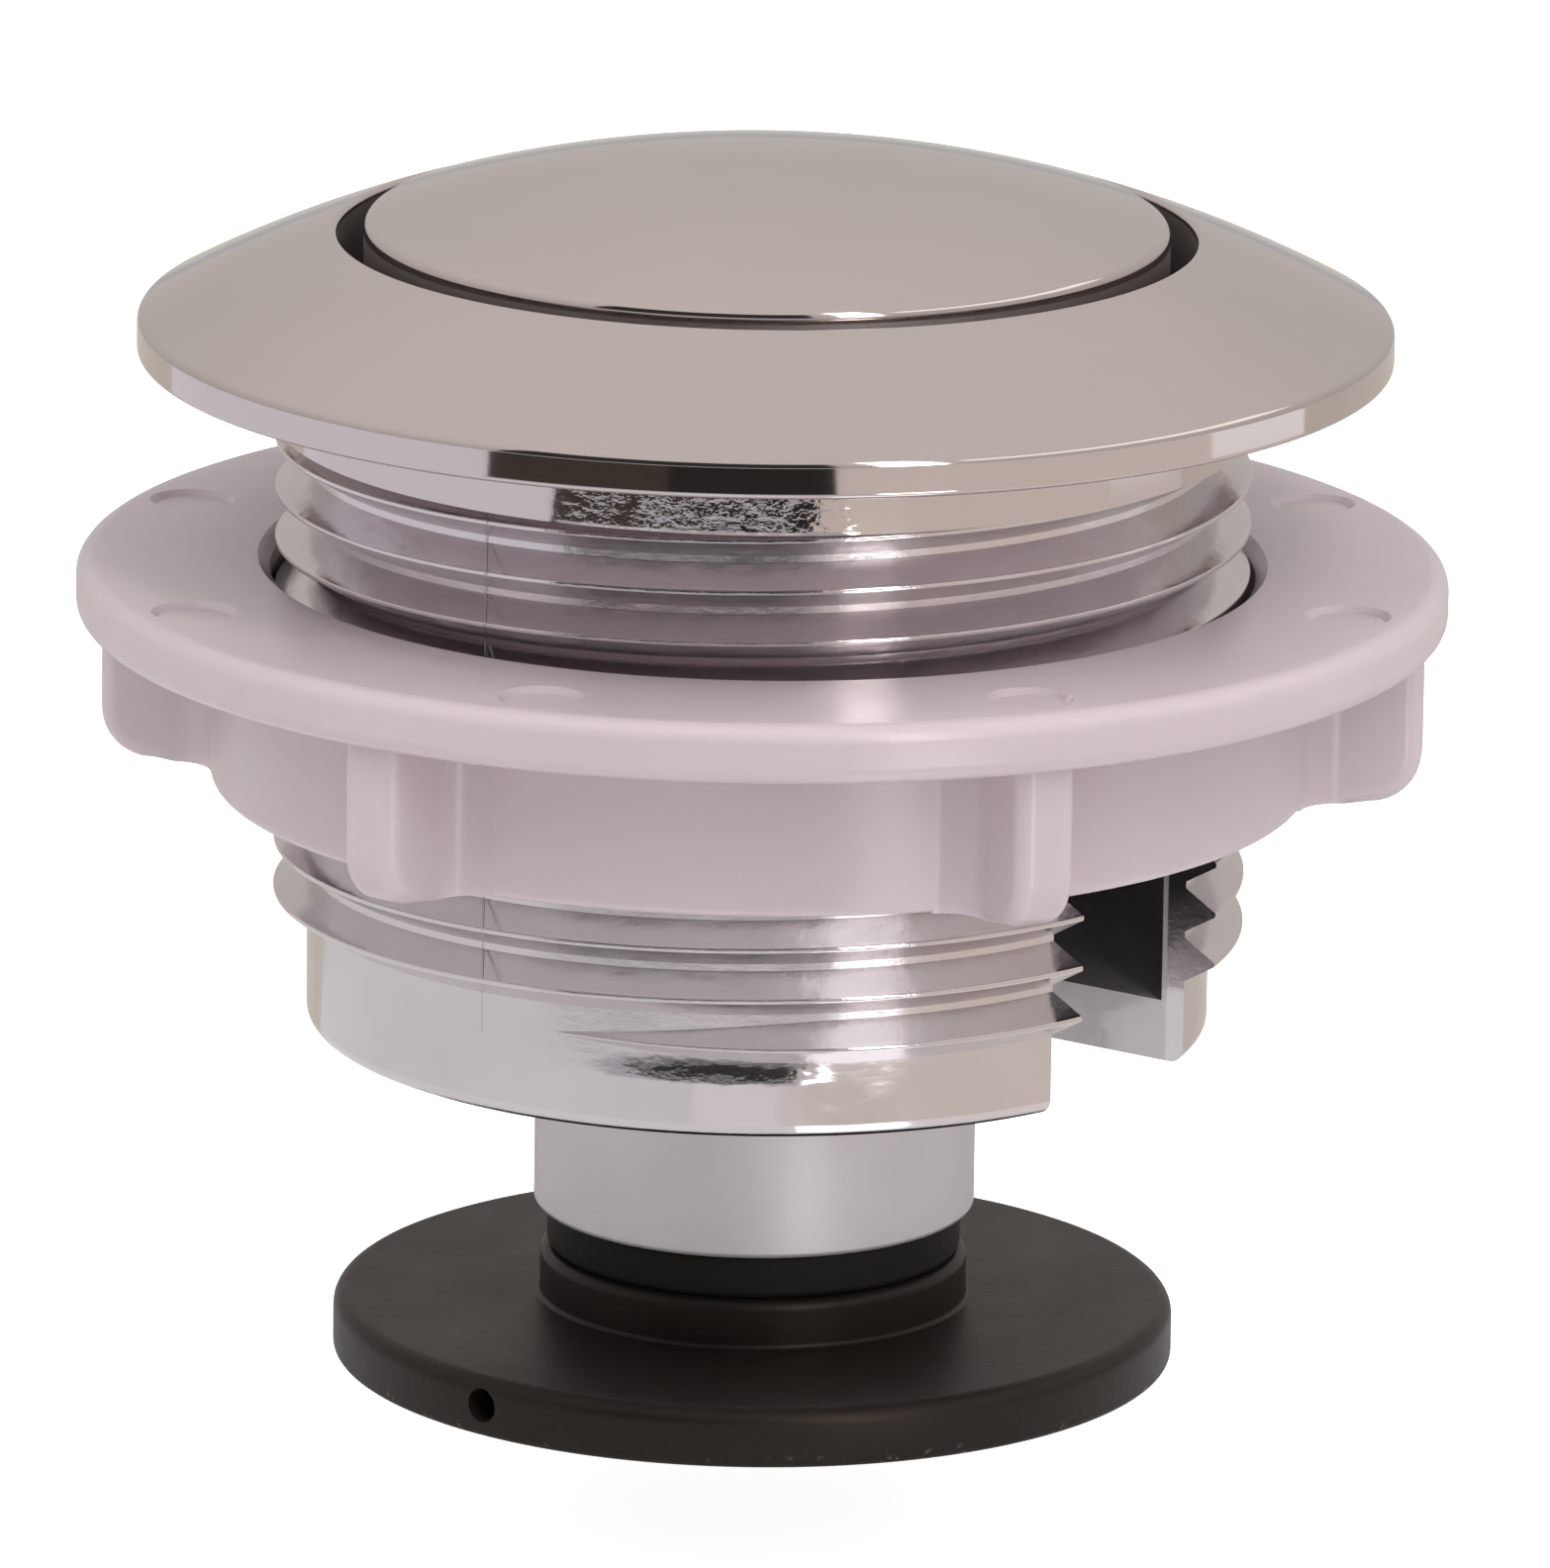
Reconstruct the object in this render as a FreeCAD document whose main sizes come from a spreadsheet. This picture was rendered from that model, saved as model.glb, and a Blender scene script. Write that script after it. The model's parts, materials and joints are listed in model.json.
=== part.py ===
import FreeCAD, Part
import math
import os
import re
import Sketcher

# Push button actuator for a cistern lid, in millimetres, +Z up.
# The origin is the centre of the foot disc's underside, on which the actuator stands.
# A plated body carries a domed bezel, a coarse threaded shank and, below its floor, a guide tube.
# A white back nut clamps the lid. The plated cap is screwed into a black push rod, whose stem
# slides in the guide tube against a coil spring and whose foot disc works the flush valve.

# Each size is one plain number: name, value, what it is.
SIZES = [
    ("dome_radius", 76.4, "sphere that the bezel and the cap share"),
    ("dome_top", 71.8, "highest point of the cap above the foot"),
    ("bezel_radius", 36.6, "outside of the bezel"),
    ("rim_depth", 2.16, "depth of the bezel's downturned rim, which sits on the lid"),
    ("rim_wall", 1.8, "thickness of the bezel's downturned rim"),
    ("shell_wall", 1.8, "thickness of the bezel under its dome"),
    ("rim_bevel", 0.4, "break of the bezel's outer edges"),
    ("opening_radius", 25.0, "bore of the body, in which the cap travels"),
    ("opening_bevel", 0.3, "break of the bezel's inner edge"),
    ("neck_radius", 28.55, "smooth neck between the bezel and the thread"),
    ("neck_bottom", 56.3, "height at which the thread runs into the neck"),
    ("root_radius", 26.5, "shank at the bottom of the thread"),
    ("thread_depth", 2.0, "height of the thread above the shank"),
    ("thread_pitch", 3.0, "advance of the thread for one turn"),
    ("thread_crest", 0.25, "width of the thread's flat crest"),
    ("thread_gap", 0.4, "width of the flat between two turns"),
    ("thread_sink", 0.2, "how far the thread is rooted in the shank"),
    ("thread_start", 26.05, "height of the crest at its lower end"),
    ("thread_azimuth", -77.0, "direction of the thread's lower end, from +X, in degrees"),
    ("shank_bottom", 20.2, "lower end of the shank"),
    ("shank_bevel", 0.8, "break of the shank's lower edge"),
    ("floor_thickness", 3.6, "floor across the lower end of the shank"),
    ("slot_width", 13.7, "width of the slot through wall and floor"),
    ("slot_inside", 16.0, "distance from the axis at which the slot ends"),
    ("slot_top", 42.0, "upper end of the slot, under the nut"),
    ("slot_azimuth", -35.0, "direction of the slot, from +X, in degrees"),
    ("guide_radius", 13.0, "outside of the guide tube"),
    ("guide_bore", 11.4, "bore of the guide tube"),
    ("guide_bottom", 9.1, "lower end of the guide tube"),
    ("guide_bevel", 0.3, "break of the guide tube's lower edge"),
    ("collar_height", 3.0, "how far the guide tube stands above the floor"),
    ("cap_gap", 1.55, "gap round the cap"),
    ("cap_skirt", 6.5, "depth of the cap's side"),
    ("cap_wall", 1.6, "wall of the cap"),
    ("cap_bevel", 0.6, "break of the cap's upper edge"),
    ("crown_wall", 3.2, "thickness of the cap over the spigot's bore"),
    ("seat_rim", 1.0, "how far the spring's seat under the cap reaches past the spring"),
    ("seat_depth", 1.25, "depth of that seat below the cap's ceiling"),
    ("socket_shoulder", 62.0, "lower face of the cap's boss, on the end of the stem"),
    ("spigot_length", 10.0, "length of the cap's spigot inside the stem"),
    ("spigot_wall", 1.8, "wall of the cap's spigot"),
    ("spigot_clearance", 0.05, "gap between spigot and stem, on the radius"),
    ("stem_clearance", 0.1, "gap between stem and guide tube, on the radius"),
    ("stem_wall", 2.0, "wall of the push rod's stem"),
    ("disc_radius", 24.8, "outside of the foot disc"),
    ("disc_thickness", 3.5, "thickness of the foot disc"),
    ("disc_shoulder", 0.7, "break of the disc's upper edge"),
    ("disc_bevel", 0.4, "break of the disc's lower edge"),
    ("hub_radius", 12.6, "hub on the foot disc"),
    ("hub_top", 6.4, "upper end of the hub"),
    ("hub_bevel", 0.5, "break of the hub's upper edge"),
    ("hub_foot", 0.5, "bevel between hub and disc"),
    ("stem_floor", 5.0, "thickness of the material under the stem's bore"),
    ("pin_hole_radius", 1.0, "blind hole in the disc's edge for a turning bar"),
    ("pin_hole_height", 1.9, "height of that hole"),
    ("pin_hole_depth", 7.0, "depth of that hole"),
    ("pin_hole_azimuth", -129.0, "direction of that hole, from +X, in degrees"),
    ("buffer_radius", 12.2, "outside of the rubber ring between hub and guide tube"),
    ("buffer_clearance", 0.1, "gap between that ring and the stem, on the radius"),
    ("wire_radius", 0.6, "half the thickness of the spring's wire"),
    ("spring_play", 0.9, "gap between the spring and the guide tube's collar"),
    ("spring_turns", 5.0, "open turns of the spring"),
    ("end_play", 0.1, "gap between the turns at each end of the spring"),
    ("clamp_face", 48.1, "top of the nut's flange"),
    ("flange_radius", 40.1, "outside of the nut's flange"),
    ("flange_thickness", 3.5, "thickness of the nut's flange"),
    ("flange_bevel", 0.5, "break of the flange's edges"),
    ("nut_clearance", 0.3, "gap between the nut's bore and the thread, on the radius"),
    ("nut_lead", 0.7, "chamfer at both ends of the nut's bore"),
    ("skirt_radius", 32.2, "outside of the nut's skirt"),
    ("nut_bottom", 34.9, "lower end of the nut"),
    ("lug_radius", 38.8, "distance from the axis to the end of a lug"),
    ("lug_thickness", 3.6, "thickness of a lug"),
    ("lug_corner", 3.0, "rounding of a lug's lower outer corner"),
    ("lug_hollow", 2.4, "hollow between a lug and the skirt"),
    ("lug_azimuth", -65.0, "direction of the first lug, from +X, in degrees"),
    ("dimple_radius", 2.5, "ejector mark on the flange"),
    ("dimple_depth", 0.15, "depth of that mark"),
    ("dimple_place", 36.0, "distance of those marks from the axis"),
]
LUGS = 6
DIMPLES = 8
SPRING_STEPS = 10
WIRE_SIDES = 6
CLOSE = 1e-4

os.makedirs("parts", exist_ok=True)
doc = FreeCAD.newDocument("cistern_actuator")
sheet = doc.addObject("Spreadsheet::Sheet", "Sizes")
for row, (word, number, meaning) in enumerate(SIZES, start=1):
    sheet.set(f"A{row}", meaning)
    sheet.set(f"B{row}", str(number))
    sheet.setAlias(f"B{row}", word)
doc.recompute()
WORDS = {word for word, number, meaning in SIZES}


def formula(text):
    """Write a sum of size names as an expression that reads the sheet."""
    return re.sub(r"[a-z_]+", lambda m: f"Sizes.{m[0]}" if m[0] in WORDS else m[0], text)


def value(text):
    """Work out such a sum as a number."""
    return float(sheet.evalExpression(formula(text)))


# Heights on the shared dome, and sizes that follow from others.
DOME_CENTRE = "dome_top - dome_radius"
CREST_RADIUS = "root_radius + thread_depth"
FLOOR_TOP = "shank_bottom + floor_thickness"
LUG_REACH = "lug_radius - skirt_radius"
CAP_RADIUS = "opening_radius - cap_gap"
CAP_INSIDE = f"{CAP_RADIUS} - cap_wall"
STEM_RADIUS = "guide_bore - stem_clearance"
STEM_BORE = f"{STEM_RADIUS} - stem_wall"
SPIGOT_RADIUS = f"{STEM_BORE} - spigot_clearance"
SPRING_MEAN = "guide_radius + spring_play + wire_radius"
SEAT_OUTSIDE = f"{SPRING_MEAN} + wire_radius + seat_rim"
NUT_BORE = f"{CREST_RADIUS} + nut_clearance"
FLANGE_BOTTOM = "clamp_face - flange_thickness"


def dome(radius, sphere="dome_radius"):
    """Height of a sphere about the dome's centre, at a distance from the axis."""
    return f"{DOME_CENTRE} + sqrt(({sphere})^2 - ({radius})^2)"


LID_FACE = f"{dome('bezel_radius')} - rim_depth"
SPRING_SEAT = f"{dome(SEAT_OUTSIDE, 'dome_radius - cap_wall')} - seat_depth"


def new_body(label):
    """Start a sub-part."""
    body = doc.addObject("PartDesign::Body", label)
    body.Label = label
    return body


def origin_part(body, role):
    """Find one of a body's own planes or axes."""
    return next(item for item in body.Origin.OriginFeatures if item.Role == role)


def place_sketch(body, name, role, height="0", turn="0"):
    """Add a sketch on one of the body's planes, turned about the Z axis and raised along it."""
    sketch = body.newObject("Sketcher::SketchObject", name)
    sketch.AttachmentSupport = [(origin_part(body, role), "")]
    sketch.MapMode = "FlatFace"
    if role == "XY_Plane":
        sketch.setExpression("AttachmentOffset.Base.z", formula(height))
        sketch.setExpression("AttachmentOffset.Rotation.Angle", formula(turn))
    else:
        sketch.AttachmentOffset = FreeCAD.Placement(FreeCAD.Vector(), FreeCAD.Vector(0, 1, 0), 1)
        sketch.setExpression("AttachmentOffset.Rotation.Angle", formula(turn))
    return sketch


def pin_point(sketch, edge, end, across, up, only_across=False):
    """Tie one end of an edge to its distances from the sketch's axes."""
    if across == "0":
        sketch.addConstraint(Sketcher.Constraint("PointOnObject", edge, end, -2))
    else:
        index = sketch.addConstraint(
            Sketcher.Constraint("DistanceX", -1, 1, edge, end, value(across)))
        sketch.setExpression(f"Constraints[{index}]", formula(across))
    if only_across:
        return
    index = sketch.addConstraint(Sketcher.Constraint("DistanceY", -1, 1, edge, end, value(up)))
    sketch.setExpression(f"Constraints[{index}]", formula(up))


def draw_outline(sketch, corners):
    """Draw a closed outline. A corner is (across, up), or (across, up, radius) where the edge
    from it to the next corner is an arc about the dome's centre with that radius."""
    count = len(corners)
    points = [FreeCAD.Vector(value(corner[0]), value(corner[1]), 0) for corner in corners]
    ends = []
    for index, corner in enumerate(corners):
        start, stop = points[index], points[(index + 1) % count]
        if len(corner) == 2:
            edge = sketch.addGeometry(Part.LineSegment(start, stop), False)
            ends.append((edge, 1, 2))
            continue
        centre = FreeCAD.Vector(0, value(DOME_CENTRE), 0)
        angles = [math.atan2(p.y - centre.y, p.x) for p in (start, stop)]
        circle = Part.Circle(centre, FreeCAD.Vector(0, 0, 1), value(corner[2]))
        edge = sketch.addGeometry(Part.ArcOfCircle(circle, min(angles), max(angles)), False)
        ends.append((edge, 1, 2) if angles[0] < angles[1] else (edge, 2, 1))
        sketch.addConstraint(Sketcher.Constraint("PointOnObject", edge, 3, -2))
        place = Sketcher.Constraint("DistanceY", -1, 1, edge, 3, centre.y)
        sketch.setExpression(f"Constraints[{sketch.addConstraint(place)}]", formula(DOME_CENTRE))
        size = Sketcher.Constraint("Radius", edge, value(corner[2]))
        sketch.setExpression(f"Constraints[{sketch.addConstraint(size)}]", formula(corner[2]))
    for index in range(count):
        edge, first, last = ends[index]
        after, after_first, after_last = ends[(index + 1) % count]
        sketch.addConstraint(Sketcher.Constraint("Coincident", edge, last, after, after_first))
    for index, corner in enumerate(corners):
        on_arc = len(corner) == 3 or len(corners[index - 1]) == 3
        pin_point(sketch, ends[index][0], ends[index][1], corner[0], corner[1], on_arc)


def draw_circle(sketch, across, up, radius):
    """Draw a circle at a place with a radius."""
    centre = FreeCAD.Vector(value(across), value(up), 0)
    circle = Part.Circle(centre, FreeCAD.Vector(0, 0, 1), value(radius))
    edge = sketch.addGeometry(circle, False)
    pin_point(sketch, edge, 3, across, up, only_across=up == "0")
    if up == "0":
        sketch.addConstraint(Sketcher.Constraint("PointOnObject", edge, 3, -1))
    index = sketch.addConstraint(Sketcher.Constraint("Radius", edge, value(radius)))
    sketch.setExpression(f"Constraints[{index}]", formula(radius))


def revolve(body, name, corners):
    """Turn an outline about the Z axis."""
    sketch = place_sketch(body, f"{name}Outline", "XZ_Plane")
    draw_outline(sketch, corners)
    turned = body.newObject("PartDesign::Revolution", name)
    turned.Profile = sketch
    turned.ReferenceAxis = (sketch, ["V_Axis"])
    turned.Angle = 360
    doc.recompute()
    return turned


def helix(body, name, sketch, pitch, height):
    """Sweep a sketch up and round the Z axis, right-handed."""
    swept = body.newObject("PartDesign::AdditiveHelix", name)
    swept.Profile = sketch
    swept.ReferenceAxis = (sketch, ["V_Axis"])
    swept.Mode = 0
    swept.setExpression("Pitch", formula(pitch))
    swept.setExpression("Height", formula(height))
    swept.LeftHanded = False
    doc.recompute()
    return swept


def ring_edges(shape, radius, height):
    """Name the circular edges of a shape with that radius at that height."""
    names = []
    for index, edge in enumerate(shape.Edges, start=1):
        if edge.Degenerated or not isinstance(edge.Curve, Part.Circle):
            continue
        circle = edge.Curve
        if abs(circle.Radius - radius) < CLOSE and abs(circle.Center.z - height) < CLOSE:
            names.append(f"Edge{index}")
    return names


def dress_edges(body, name, kind, edges, size):
    """Round or bevel the named edges of a body's last feature."""
    if not edges:
        raise ValueError(f"{name} finds no edge")
    base = body.Tip
    dressed = body.newObject(f"PartDesign::{kind}", name)
    dressed.Base = (base, edges)
    dressed.setExpression("Radius" if kind == "Fillet" else "Size", formula(size))
    doc.recompute()


def bevel_rings(body, name, size, *rings):
    """Bevel circular edges, each given by its radius and its height."""
    edges = []
    for radius, height in rings:
        edges += ring_edges(body.Tip.Shape, value(radius), value(height))
    dress_edges(body, name, "Chamfer", edges, size)


def cut(body, name, sketch, depth, flip=False):
    """Cut a sketch's outline into a body, and make sure that it removed something."""
    before = body.Tip.Shape.Volume
    pocket = body.newObject("PartDesign::Pocket", name)
    pocket.Profile = sketch
    pocket.Type = "Length"
    pocket.Reversed = flip
    pocket.setExpression("Length", formula(depth))
    doc.recompute()
    if pocket.Shape.Volume > before - CLOSE:
        raise ValueError(f"{name} cuts nothing")
    return pocket


def repeat(body, name, feature, count):
    """Repeat a feature evenly about the Z axis."""
    pattern = body.newObject("PartDesign::PolarPattern", name)
    pattern.Originals = [feature]
    pattern.Axis = (origin_part(body, "Z_Axis"), [""])
    pattern.Angle = 360
    pattern.Occurrences = count
    body.Tip = pattern
    doc.recompute()
    return pattern


def make_sleeve_body():
    """The plated body: bezel, neck, threaded shank, slotted floor and guide tube in one moulding."""
    body = new_body("sleeve_body")
    rim_inside = "bezel_radius - rim_wall"
    shell_inside = "dome_radius - shell_wall"
    revolve(body, "BodySection", [
        ("guide_bore", "guide_bottom"),
        ("guide_radius", "guide_bottom"),
        ("guide_radius", "shank_bottom"),
        ("root_radius", "shank_bottom"),
        ("root_radius", "neck_bottom"),
        ("neck_radius", "neck_bottom"),
        ("neck_radius", dome("neck_radius", shell_inside)),
        (rim_inside, dome(rim_inside, shell_inside)),
        (rim_inside, LID_FACE),
        ("bezel_radius", LID_FACE),
        ("bezel_radius", dome("bezel_radius"), "dome_radius"),
        ("opening_radius", dome("opening_radius")),
        ("opening_radius", FLOOR_TOP),
        ("guide_radius", FLOOR_TOP),
        ("guide_radius", f"{FLOOR_TOP} + collar_height"),
        ("guide_bore", f"{FLOOR_TOP} + collar_height"),
    ])
    bevel_rings(body, "RimEdges", "rim_bevel",
                ("bezel_radius", dome("bezel_radius")), ("bezel_radius", LID_FACE))
    bevel_rings(body, "OpeningEdge", "opening_bevel", ("opening_radius", dome("opening_radius")))
    bevel_rings(body, "ShankEdge", "shank_bevel", ("root_radius", "shank_bottom"))
    bevel_rings(body, "GuideEdge", "guide_bevel", ("guide_radius", "guide_bottom"))

    # The thread is a ridge with flanks of 60 degrees, swept from the shank into the neck.
    sketch = place_sketch(body, "ThreadOutline", "XZ_Plane", turn="thread_azimuth")
    half_root = "(thread_pitch - thread_gap) / 2"
    slope = f"({half_root} - thread_crest / 2) / thread_depth"
    half_base = f"{half_root} + thread_sink * {slope}"
    draw_outline(sketch, [
        ("root_radius - thread_sink", f"thread_start - ({half_base})"),
        (CREST_RADIUS, "thread_start - thread_crest / 2"),
        (CREST_RADIUS, "thread_start + thread_crest / 2"),
        ("root_radius - thread_sink", f"thread_start + {half_base}"),
    ])
    helix(body, "Thread", sketch, "thread_pitch", "neck_bottom - thread_start + thread_pitch / 2")

    # The slot is cut from below through floor, wall and thread, up to a height under the nut.
    sketch = place_sketch(body, "SlotOutline", "XY_Plane", height="slot_top", turn="slot_azimuth")
    draw_outline(sketch, [
        ("slot_inside", "-slot_width / 2"),
        ("bezel_radius", "-slot_width / 2"),
        ("bezel_radius", "slot_width / 2"),
        ("slot_inside", "slot_width / 2"),
    ])
    cut(body, "Slot", sketch, "slot_top")
    return body


def make_back_nut():
    """The white nut: a flange on a skirt, with lugs to turn it by hand."""
    body = new_body("back_nut")
    revolve(body, "NutSection", [
        (f"{NUT_BORE} + nut_lead", "nut_bottom"),
        ("skirt_radius", "nut_bottom"),
        ("skirt_radius", FLANGE_BOTTOM),
        ("flange_radius", FLANGE_BOTTOM),
        ("flange_radius", "clamp_face"),
        (f"{NUT_BORE} + nut_lead", "clamp_face"),
        (NUT_BORE, "clamp_face - nut_lead"),
        (NUT_BORE, "nut_bottom + nut_lead"),
    ])
    bevel_rings(body, "FlangeEdges", "flange_bevel",
                ("flange_radius", "clamp_face"), ("flange_radius", FLANGE_BOTTOM))

    # A lug stands on the skirt under the flange, and its lower end is flush with the skirt.
    sketch = place_sketch(body, "LugOutline", "XZ_Plane", turn="lug_azimuth")
    lug_root = f"(({NUT_BORE}) + skirt_radius) / 2"
    draw_outline(sketch, [
        (lug_root, "nut_bottom"),
        ("lug_radius", "nut_bottom"),
        ("lug_radius", "clamp_face - flange_thickness / 2"),
        (lug_root, "clamp_face - flange_thickness / 2"),
    ])
    lug = body.newObject("PartDesign::Pad", "Lug")
    lug.Profile = sketch
    lug.setExpression("Length", formula("lug_thickness"))
    lug.SideType = "Symmetric"
    doc.recompute()
    repeat(body, "Lugs", lug, LUGS)
    # On a short lug both roundings stay within its reach.
    for name, wanted, size in (("LugCorners", lower_corner, "lug_corner"),
                               ("LugHollows", beside_skirt, "lug_hollow")):
        edges = lug_edges(body.Tip.Shape, wanted)
        dress_edges(body, name, "Fillet", edges, f"min({size}; ({LUG_REACH}) * 0.48)")

    sketch = place_sketch(body, "DimpleOutline", "XY_Plane", height="clamp_face", turn="lug_azimuth")
    draw_circle(sketch, "dimple_place", "0", "dimple_radius")
    dimple = cut(body, "Dimple", sketch, "dimple_depth")
    repeat(body, "Dimples", dimple, DIMPLES)
    return body


def lower_corner(ends):
    """Is this the level edge at the lower outer corner of a lug?"""
    return all(abs(p.z - value("nut_bottom")) < CLOSE
               and math.hypot(p.x, p.y) > value("lug_radius") - CLOSE for p in ends)


def beside_skirt(ends):
    """Is this the upright edge where a lug's side meets the skirt?"""
    upright = abs(ends[0].x - ends[1].x) + abs(ends[0].y - ends[1].y) < CLOSE
    return upright and all(abs(math.hypot(p.x, p.y) - value("skirt_radius")) < CLOSE for p in ends)


def lug_edges(shape, wanted):
    """Name the straight edges of the nut whose two ends pass a test."""
    names = []
    for index, edge in enumerate(shape.Edges, start=1):
        ends = [vertex.Point for vertex in edge.Vertexes]
        if isinstance(edge.Curve, Part.Line) and len(ends) == 2 and wanted(ends):
            names.append(f"Edge{index}")
    return names


def make_button_cap():
    """The plated cap: a domed shell with a seat for the spring and a spigot for the stem."""
    body = new_body("button_cap")
    skirt_bottom = f"{dome(CAP_RADIUS)} - cap_skirt"
    spigot_bore = f"{SPIGOT_RADIUS} - spigot_wall"
    shell_inside = "dome_radius - cap_wall"
    spigot_bottom = "socket_shoulder - spigot_length"
    revolve(body, "CapSection", [
        ("0", "dome_top", "dome_radius"),
        (CAP_RADIUS, dome(CAP_RADIUS)),
        (CAP_RADIUS, skirt_bottom),
        (CAP_INSIDE, skirt_bottom),
        (CAP_INSIDE, dome(CAP_INSIDE, shell_inside)),
        (SEAT_OUTSIDE, dome(SEAT_OUTSIDE, shell_inside)),
        (SEAT_OUTSIDE, SPRING_SEAT),
        (STEM_RADIUS, SPRING_SEAT),
        (STEM_RADIUS, "socket_shoulder"),
        (SPIGOT_RADIUS, "socket_shoulder"),
        (SPIGOT_RADIUS, spigot_bottom),
        (spigot_bore, spigot_bottom),
        (spigot_bore, "dome_top - crown_wall"),
        ("0", "dome_top - crown_wall"),
    ])
    bevel_rings(body, "CapEdge", "cap_bevel", (CAP_RADIUS, dome(CAP_RADIUS)))
    return body


def make_push_rod():
    """The black push rod: foot disc, hub and hollow stem in one moulding."""
    body = new_body("push_rod")
    revolve(body, "RodSection", [
        ("0", "0"),
        ("disc_radius", "0"),
        ("disc_radius", "disc_thickness"),
        ("hub_radius", "disc_thickness"),
        ("hub_radius", "hub_top"),
        (STEM_RADIUS, "hub_top"),
        (STEM_RADIUS, "socket_shoulder"),
        (STEM_BORE, "socket_shoulder"),
        (STEM_BORE, "stem_floor"),
        ("0", "stem_floor"),
    ])
    bevel_rings(body, "DiscShoulder", "disc_shoulder", ("disc_radius", "disc_thickness"))
    bevel_rings(body, "DiscEdge", "disc_bevel", ("disc_radius", "0"))
    bevel_rings(body, "HubEdge", "hub_bevel", ("hub_radius", "hub_top"))
    bevel_rings(body, "HubFoot", "hub_foot", ("hub_radius", "disc_thickness"))

    # The blind hole runs inwards from the disc's edge, turned about its own level axis.
    sketch = place_sketch(body, "PinHoleOutline", "XZ_Plane", turn="pin_hole_azimuth")
    draw_outline(sketch, [
        ("disc_radius - pin_hole_depth", "pin_hole_height"),
        ("disc_radius + pin_hole_depth", "pin_hole_height"),
        ("disc_radius + pin_hole_depth", "pin_hole_height + pin_hole_radius"),
        ("disc_radius - pin_hole_depth", "pin_hole_height + pin_hole_radius"),
    ])
    before = body.Tip.Shape.Volume
    hole = body.newObject("PartDesign::Groove", "PinHole")
    hole.Profile = sketch
    hole.ReferenceAxis = (sketch, ["Edge1"])
    hole.Angle = 360
    doc.recompute()
    if hole.Shape.Volume > before - CLOSE:
        raise ValueError("PinHole cuts nothing")
    return body


def make_buffer_ring():
    """The rubber ring on the hub, which meets the guide tube when the button is up."""
    body = new_body("buffer_ring")
    inside = f"{STEM_RADIUS} + buffer_clearance"
    revolve(body, "RingSection", [
        (inside, "hub_top"),
        ("buffer_radius", "hub_top"),
        ("buffer_radius", "guide_bottom"),
        (inside, "guide_bottom"),
    ])
    return body


def make_return_spring():
    """The spring: open turns between one close turn at each end. Short straight runs of
    six-sided wire stand for its round wire."""
    mean = value(SPRING_MEAN)
    close_pitch = value("wire_radius * 2 + end_play")
    low = value(f"{FLOOR_TOP} + wire_radius")
    high = value(f"{SPRING_SEAT} - wire_radius")
    turns = value("spring_turns")
    open_pitch = (high - low - 2 * close_pitch) / turns
    points = []
    for step in range(round((turns + 2) * SPRING_STEPS) + 1):
        turned = step / SPRING_STEPS
        rise = min(turned, 1) * close_pitch
        rise += min(max(turned - 1, 0), turns) * open_pitch
        rise += max(turned - 1 - turns, 0) * close_pitch
        angle = 2 * math.pi * turned
        points.append(FreeCAD.Vector(mean * math.cos(angle), mean * math.sin(angle), low + rise))
    corners = []
    for side in range(WIRE_SIDES + 1):
        angle = 2 * math.pi * side / WIRE_SIDES
        away = value("wire_radius") * math.cos(angle)
        rise = value("wire_radius") * math.sin(angle)
        corners.append(points[0] + FreeCAD.Vector(away, 0, rise))
    pipe = Part.BRepOffsetAPI.MakePipeShell(Part.makePolygon(points))
    pipe.add(Part.makePolygon(corners))
    pipe.setTransitionMode(1)
    pipe.build()
    pipe.makeSolid()
    spring = doc.addObject("Part::Feature", "return_spring")
    spring.Label = "return_spring"
    spring.Shape = pipe.shape()
    spring.Placement = FreeCAD.Placement()
    return spring


bodies = [
    make_sleeve_body(),
    make_back_nut(),
    make_button_cap(),
    make_push_rod(),
    make_buffer_ring(),
    make_return_spring(),
]
doc.recompute()

for item in doc.Objects:
    if "Invalid" in item.State or "Error" in item.State:
        raise ValueError(f"{item.Label} has failed: {item.State}")
for body in bodies:
    shape = body.Shape
    if shape.isNull() or not shape.isValid() or len(shape.Solids) != 1:
        raise ValueError(f"{body.Label} is not one valid solid")
for body in bodies:
    body.Shape.exportStep(f"parts/{body.Label}.step")
    print(f"{body.Label}: {body.Shape.Volume / 1000:.2f} cubic centimetres")
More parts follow.
